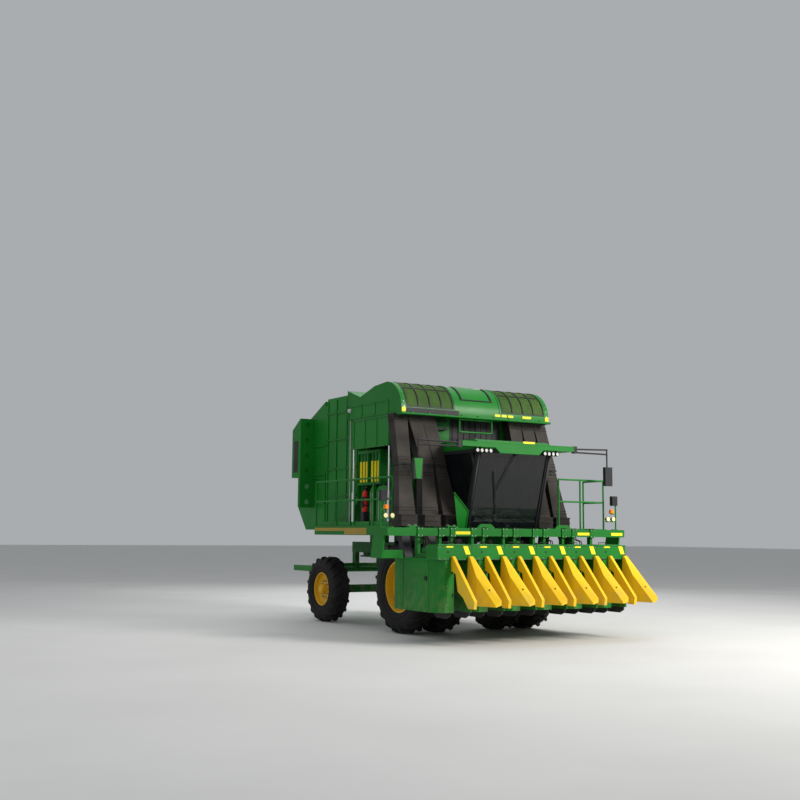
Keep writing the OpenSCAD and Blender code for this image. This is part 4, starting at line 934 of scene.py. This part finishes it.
# Tank caps and straps
TANK_RIGHT, TANK_LEFT = DECK_Z + 0.880, DECK_Z + 0.620  # tops of the tanks
bm = bmesh.new()
for yy in (0.53, 0.96):
    add_post(bm, -1.77, Y(yy), (TANK_RIGHT, TANK_RIGHT + 0.035), 0.065, 28)
    add_post(bm, -1.77, Y(yy), (TANK_RIGHT + 0.035, TANK_RIGHT + 0.060), 0.058, 12)
add_post(bm, 1.76, Y(2.35), (TANK_LEFT, TANK_LEFT + 0.05), 0.07, 28)
piece("tank_caps", bm, DARK, MACHINE, bevel=0.004)
bm = bmesh.new()
for yy in (0.40, 0.65, 0.92, 1.00):
    add_box(bm, (-1.884, -1.880), near(Y(yy), 0.016), (DECK_Z, DECK_Z + 0.74))
for yy in (2.35, 3.10):
    add_box(bm, (1.880, 1.884), near(Y(yy), 0.02), (DECK_Z, TANK_LEFT))
    add_box(bm, (1.640, 1.884), near(Y(yy), 0.02), (TANK_LEFT, TANK_LEFT + 0.004))
piece("tank_straps", bm, STEEL, MACHINE, bevel=0.001)

# Grips on the ladder's steps
bm = bmesh.new()
for k in range(5):
    z = 0.550 + 0.330 * k
    for j in range(9):
        y = Y(1.235) + 0.0475 * j
        add_post(bm, 2.065, y, (z, z + 0.006), 0.014, 8)
        add_post(bm, 2.030, y + 0.02, (z, z + 0.006), 0.010, 8)
piece("step_grips", bm, STEEL, "step_ladder")

# ---- chamber ----
CHAM_X = 1.570
RIB = 0.022  # height of a pressed rib
GATE_Y = Y(5.350)
POD_X = CHAM_X + 0.380

# Pressed ribs of the chamber, then of the gate
bm = bmesh.new()
for s in SIDES:
    side = span(s, CHAM_X, CHAM_X + RIB)
    for yy in (2.20, 2.72, 3.24, 3.68):
        low_z = 2.20 if yy > 2.80 else 2.90
        add_box(bm, side, (Y(yy), Y(yy + 0.05)), (low_z, 5.02 if yy < 2.3 else 5.28))
    for z in (2.95, 3.60, 4.30, 4.95):
        add_box(bm, side, (Y(2.20), Y(3.73)), (z, z + 0.04))
for yy in (2.42, 2.95, 3.48):
    add_box(bm, (-1.50, 1.50), (Y(yy), Y(yy + 0.06)), (5.340, 5.340 + RIB))
piece("chamber_ribs", bm, GREEN, MACHINE, bevel=0.004)
bm = bmesh.new()
for s in SIDES:
    side = span(s, CHAM_X, CHAM_X + RIB)
    for z in (2.80, 3.42):
        add_box(bm, side, (Y(3.80), Y(5.30)), (z, z + 0.045))
    for yy in (3.80, 4.28, 5.10):
        add_box(bm, side, (Y(yy), Y(yy + 0.045)), (2.22 if yy < 5 else 2.72, 3.42))
    for z in (3.50, 4.20):
        add_box(bm, side, (Y(3.80), Y(4.45)), (z, z + 0.045))
for z in (3.00, 3.50, 4.00):
    add_box(bm, (-1.50, 1.50), (GATE_Y, GATE_Y + RIB), (z, z + 0.06))
for x in (-1.50, -0.78, -0.03, 0.72, 1.45):
    add_box(bm, (x, x + 0.05), (GATE_Y, GATE_Y + RIB), (2.82, 4.40))
piece("gate_ribs", bm, GREEN, "module_gate", bevel=0.004)

# Tail lamps, and the doors of the pods on the gate's sides
bm = bmesh.new()
for s in SIDES:
    for z in (3.62, 3.82, 4.02):
        add_box(bm, span(s, CHAM_X + 0.30, CHAM_X + 0.372), (Y(4.930), Y(4.945)), (z, z + 0.12))
piece("tail_lamps", bm, RED, "module_gate", bevel=0.006)
bm = bmesh.new()
for s in SIDES:
    x = s * POD_X
    for yy in (4.56, 4.86):
        for z in (3.52, 3.82, 4.12, 4.42):
            add_bolt(bm, (x, Y(yy), z), (s, 0, 0), 0.010, 0.008)
    add_box(bm, sorted((x, x + s * 0.008)), (Y(4.60), Y(4.82)), (3.58, 4.36))
piece("pod_doors", bm, CAST, "module_gate", bevel=0.002)

# ---- running gear ----
# Pipes along the frame's rails, with their clips
bm = bmesh.new()
for s in SIDES:
    for z in (1.66 + 0.045 * k for k in range(3)):
        add_tube(bm, [(s * 0.430, Y(yy), z) for yy in (-0.10, 2.0, 3.4)], 0.011, 8)
piece("rail_pipes", bm, STEEL, MACHINE)
bm = bmesh.new()
for s in SIDES:
    for yy in (0.3, 1.0, 1.7, 2.4, 3.1):
        add_box(bm, span(s, 0.400, 0.446), (Y(yy), Y(yy + 0.03)), (1.64, 1.77))
piece("pipe_clips", bm, DARK, MACHINE, bevel=0.002)

# Covers on the engine
bm = bmesh.new()
for s in SIDES:
    for k in range(6):
        add_box(bm, span(s, 0.400, 0.412), (Y(0.52 + 0.2 * k), Y(0.66 + 0.2 * k)), (1.98, 2.30))
for k in range(5):
    add_box(bm, (-0.28, 0.28), (Y(0.56 + 0.23 * k), Y(0.60 + 0.23 * k)), (3.12, 3.14))
piece("engine_covers", bm, CAST, MACHINE, bevel=0.006)

# Wheels
DRIVE_R, GUIDE_R = 0.975, 0.765  # outer radius of the tyres
GUIDE_Y = Y(3.600)
TRACK, DUAL_X = 1.560, 0.780  # X of the outer wheels and of the inner drive wheels
LUG_W = 0.062  # width of a lug
# Along a lug: how far out it is, its lean, and its drop under the tyre's radius
LUG = ((0.02, 0.0, 0.0), (0.30, 0.36, 0.0), (0.62, 0.80, 0.004), (0.86, 1.05, 0.030),
       (0.985, 1.12, 0.150))


def tyre(name, centre_x, y, radius, rim, width, lugs, body, replaced, lug_h=0.050):
    """Tyres of one axle end: a smooth carcass with slanted lugs."""
    bm = bmesh.new()
    half = width / 2
    tread = radius - lug_h
    profile = [(rim - 0.002, -half + 0.075), (rim + 0.020, -half + 0.062),
               (rim + 0.060, -half + 0.030), (rim + 0.5 * (tread - rim), -half + 0.004),
               (tread - 0.110, -half + 0.008), (tread - 0.050, -half + 0.030),
               (tread - 0.012, -half + 0.075), (tread, -half * 0.45), (tread + 0.002, 0.0)]
    profile += [(r, -h) for r, h in profile[-2::-1]]
    for cx in centre_x:
        rings = [[bm.verts.new(p) for p in wheel_circle(cx + h, y, radius, r, 96)[:-1]]
                 for r, h in profile]
        skin(bm, rings + rings[:1], caps=False)
        for side in SIDES:
            for k in range(lugs):
                start = math.tau * (k + (0.5 if side > 0 else 0.0)) / lugs
                stations = []
                for out, lean, drop in LUG:
                    a = start + lean * 1.15 / lugs * math.pi
                    top = radius - drop
                    root = tread - drop * 1.15 - 0.03
                    w = LUG_W * (0.8 if out < 0.1 else 1.0) / 2
                    corners = ((root, a + w * 1.35 / root), (top, a + w / top),
                               (top, a - w / top), (root, a - w * 1.35 / root))
                    h = cx + side * half * out
                    stations.append([(h, y + r * math.cos(t), radius + r * math.sin(t))
                                     for r, t in corners])
                add_loft(bm, stations)
        # Mould rings on the sidewalls
        for side in SIDES:
            for r, depth in ((rim + 0.045, 0.036), (rim + 0.115, 0.014)):
                add_tube(bm, wheel_circle(cx + side * (half - depth), y, radius, r), 0.008, 6)
    obj = piece(name, bm, TYRE, body)
    for face in obj.data.polygons:
        face.use_smooth = True
    obj.data.set_sharp_from_angle(angle=math.radians(35))
    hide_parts(replaced)


def wheel_trim(name, x, y, z, side, disc_r, bolts, circle_r, body, hub_r, hub_x):
    """Bolt circle, stiffening rings and hub cap on the outer face of a rim."""
    bm = bmesh.new()
    for k in range(bolts):
        a = math.tau * k / bolts
        p = Vector((x, y + circle_r * math.cos(a), z + circle_r * math.sin(a)))
        for start, end, r, sides in ((0.0, 0.012, 0.022, 20), (0.012, 0.034, 0.016, 6),
                                     (0.034, 0.046, 0.009, 10)):
            add_rod(bm, p + Vector((side * start, 0, 0)), p + Vector((side * end, 0, 0)), r, sides)
    piece(name + "_nuts", bm, STEEL, body)
    bm = bmesh.new()
    for r in (disc_r * 0.62, disc_r - 0.012):
        add_tube(bm, wheel_circle(x + side * 0.002, y, z, r), 0.012, 8)
    add_rod(bm, (hub_x, y, z), (hub_x + side * 0.03, y, z), hub_r * 0.82, 40, hub_r * 0.70)
    for k in range(8):
        a = math.tau * (k + 0.5) / 8
        place = (hub_x, y + hub_r * 0.90 * math.cos(a), z + hub_r * 0.90 * math.sin(a))
        add_bolt(bm, place, (side, 0, 0), 0.010)
    piece(name + "_rings", bm, YELLOW, body)


for s, side in ((-1, "right"), (1, "left")):
    drive, guide = "drive_wheels_" + side, "guide_wheel_" + side
    tyre("lugged_drive_tyres_" + side, [s * DUAL_X, s * TRACK], AXLE_Y, DRIVE_R, 0.545, 0.520, 20,
         drive, "drive_tyres_" + side)
    tyre("lugged_guide_tyre_" + side, [s * TRACK], GUIDE_Y, GUIDE_R, 0.390, 0.480, 18, guide,
         "guide_tyre_" + side, lug_h=0.040)
    wheel_trim("drive_" + side, s * 1.572, AXLE_Y, DRIVE_R, s, 0.515, 12, 0.255, drive, 0.170,
               s * 1.650)
    wheel_trim("guide_" + side, s * 1.640, GUIDE_Y, GUIDE_R, s, 0.370, 10, 0.190, guide, 0.120,
               s * 1.750)

# Grooves of the handler's rubber rollers
bm = bmesh.new()
for k in range(4):
    y = Y(4.810 + 0.420 * k)
    for j in range(14):
        add_tube(bm, wheel_circle(-1.02 + 0.157 * j, y, 1.190, 0.0705, 28), 0.0035, 6)
piece("roller_grooves", bm, RUBBER, "module_handler")

# ---- camera ----
IMAGE = 800.0  # pixels across
SENSOR = 36.0  # mm across
CAMERA = dict(place=(-14.12, -20.74 + AXLE_Y, 2.085), yaw=30.81, pitch=6.77, roll=0.50,
              focal_px=1127.5)


def aim(place, yaw, pitch, roll, focal_px):
    """The camera that was fitted to the photo; the angles are in degrees."""
    yaw, pitch, roll = (math.radians(v) for v in (yaw, pitch, roll))
    forward = Vector((math.sin(yaw) * math.cos(pitch), math.cos(yaw) * math.cos(pitch),
                      math.sin(pitch)))
    right = Vector((math.cos(yaw), -math.sin(yaw), 0))
    up = right.cross(forward)
    c, s = math.cos(roll), math.sin(roll)
    right, up = right * c + up * s, up * c - right * s
    cam = bpy.data.cameras.new("camera")
    cam.sensor_width = SENSOR
    cam.lens = focal_px / IMAGE * SENSOR
    cam.clip_end = 500.0
    obj = bpy.data.objects.new("camera", cam)
    bpy.context.scene.collection.objects.link(obj)
    turn = Matrix((right, up, -forward)).transposed().to_4x4()
    obj.matrix_world = Matrix.Translation(place) @ turn
    bpy.context.scene.camera = obj


aim(**CAMERA)

# ---- studio ----
bm = bmesh.new()
bmesh.ops.create_grid(bm, x_segments=2, y_segments=2, size=150.0)
floor_mesh = bpy.data.meshes.new("floor")
bm.to_mesh(floor_mesh)
bm.free()
floor = bpy.data.objects.new("floor", floor_mesh)
bpy.context.scene.collection.objects.link(floor)
mat, tree, bsdf, coords = new_material("floor_grey")
grey = ramp(tree, noise(tree, coords, 0.4), [(0.3, (0.60, 0.60, 0.59)), (0.7, (0.64, 0.64, 0.63))])
tree.links.new(grey, bsdf.inputs["Base Color"])
bsdf.inputs["Roughness"].default_value = 0.85
floor_mesh.materials.append(mat)


def lamp(name, place, target, size, power, colour):
    """A soft rectangular light aimed at a target."""
    data = bpy.data.lights.new(name, "AREA")
    data.shape = "RECTANGLE"
    data.size, data.size_y = size
    data.energy = power
    data.color = colour
    obj = bpy.data.objects.new(name, data)
    bpy.context.scene.collection.objects.link(obj)
    obj.location = place
    obj.rotation_euler = (Vector(target) - Vector(place)).to_track_quat("-Z", "Y").to_euler()


lamp("key", (9, -17, 11), (0, -2, 1.6), (6, 6), 3900, (1.0, 0.97, 0.92))
lamp("fill", (-16, -12, 8), (0, 0, 2.0), (9, 7), 180, (0.90, 0.95, 1.0))
lamp("top", (0, 3, 14), (0, 0, 0), (14, 14), 900, (1.0, 1.0, 1.0))
lamp("rim", (10, 15, 9), (0, 0, 2.5), (8, 6), 700, (1.0, 1.0, 1.0))

world = bpy.data.worlds.new("studio")
bpy.context.scene.world = world
world.use_nodes = True
background = world.node_tree.nodes["Background"]
background.inputs["Color"].default_value = (0.80, 0.83, 0.86, 1.0)
background.inputs["Strength"].default_value = 0.50
bpy.context.scene.view_settings.view_transform = "Standard"
bpy.context.scene.view_settings.look = "None"
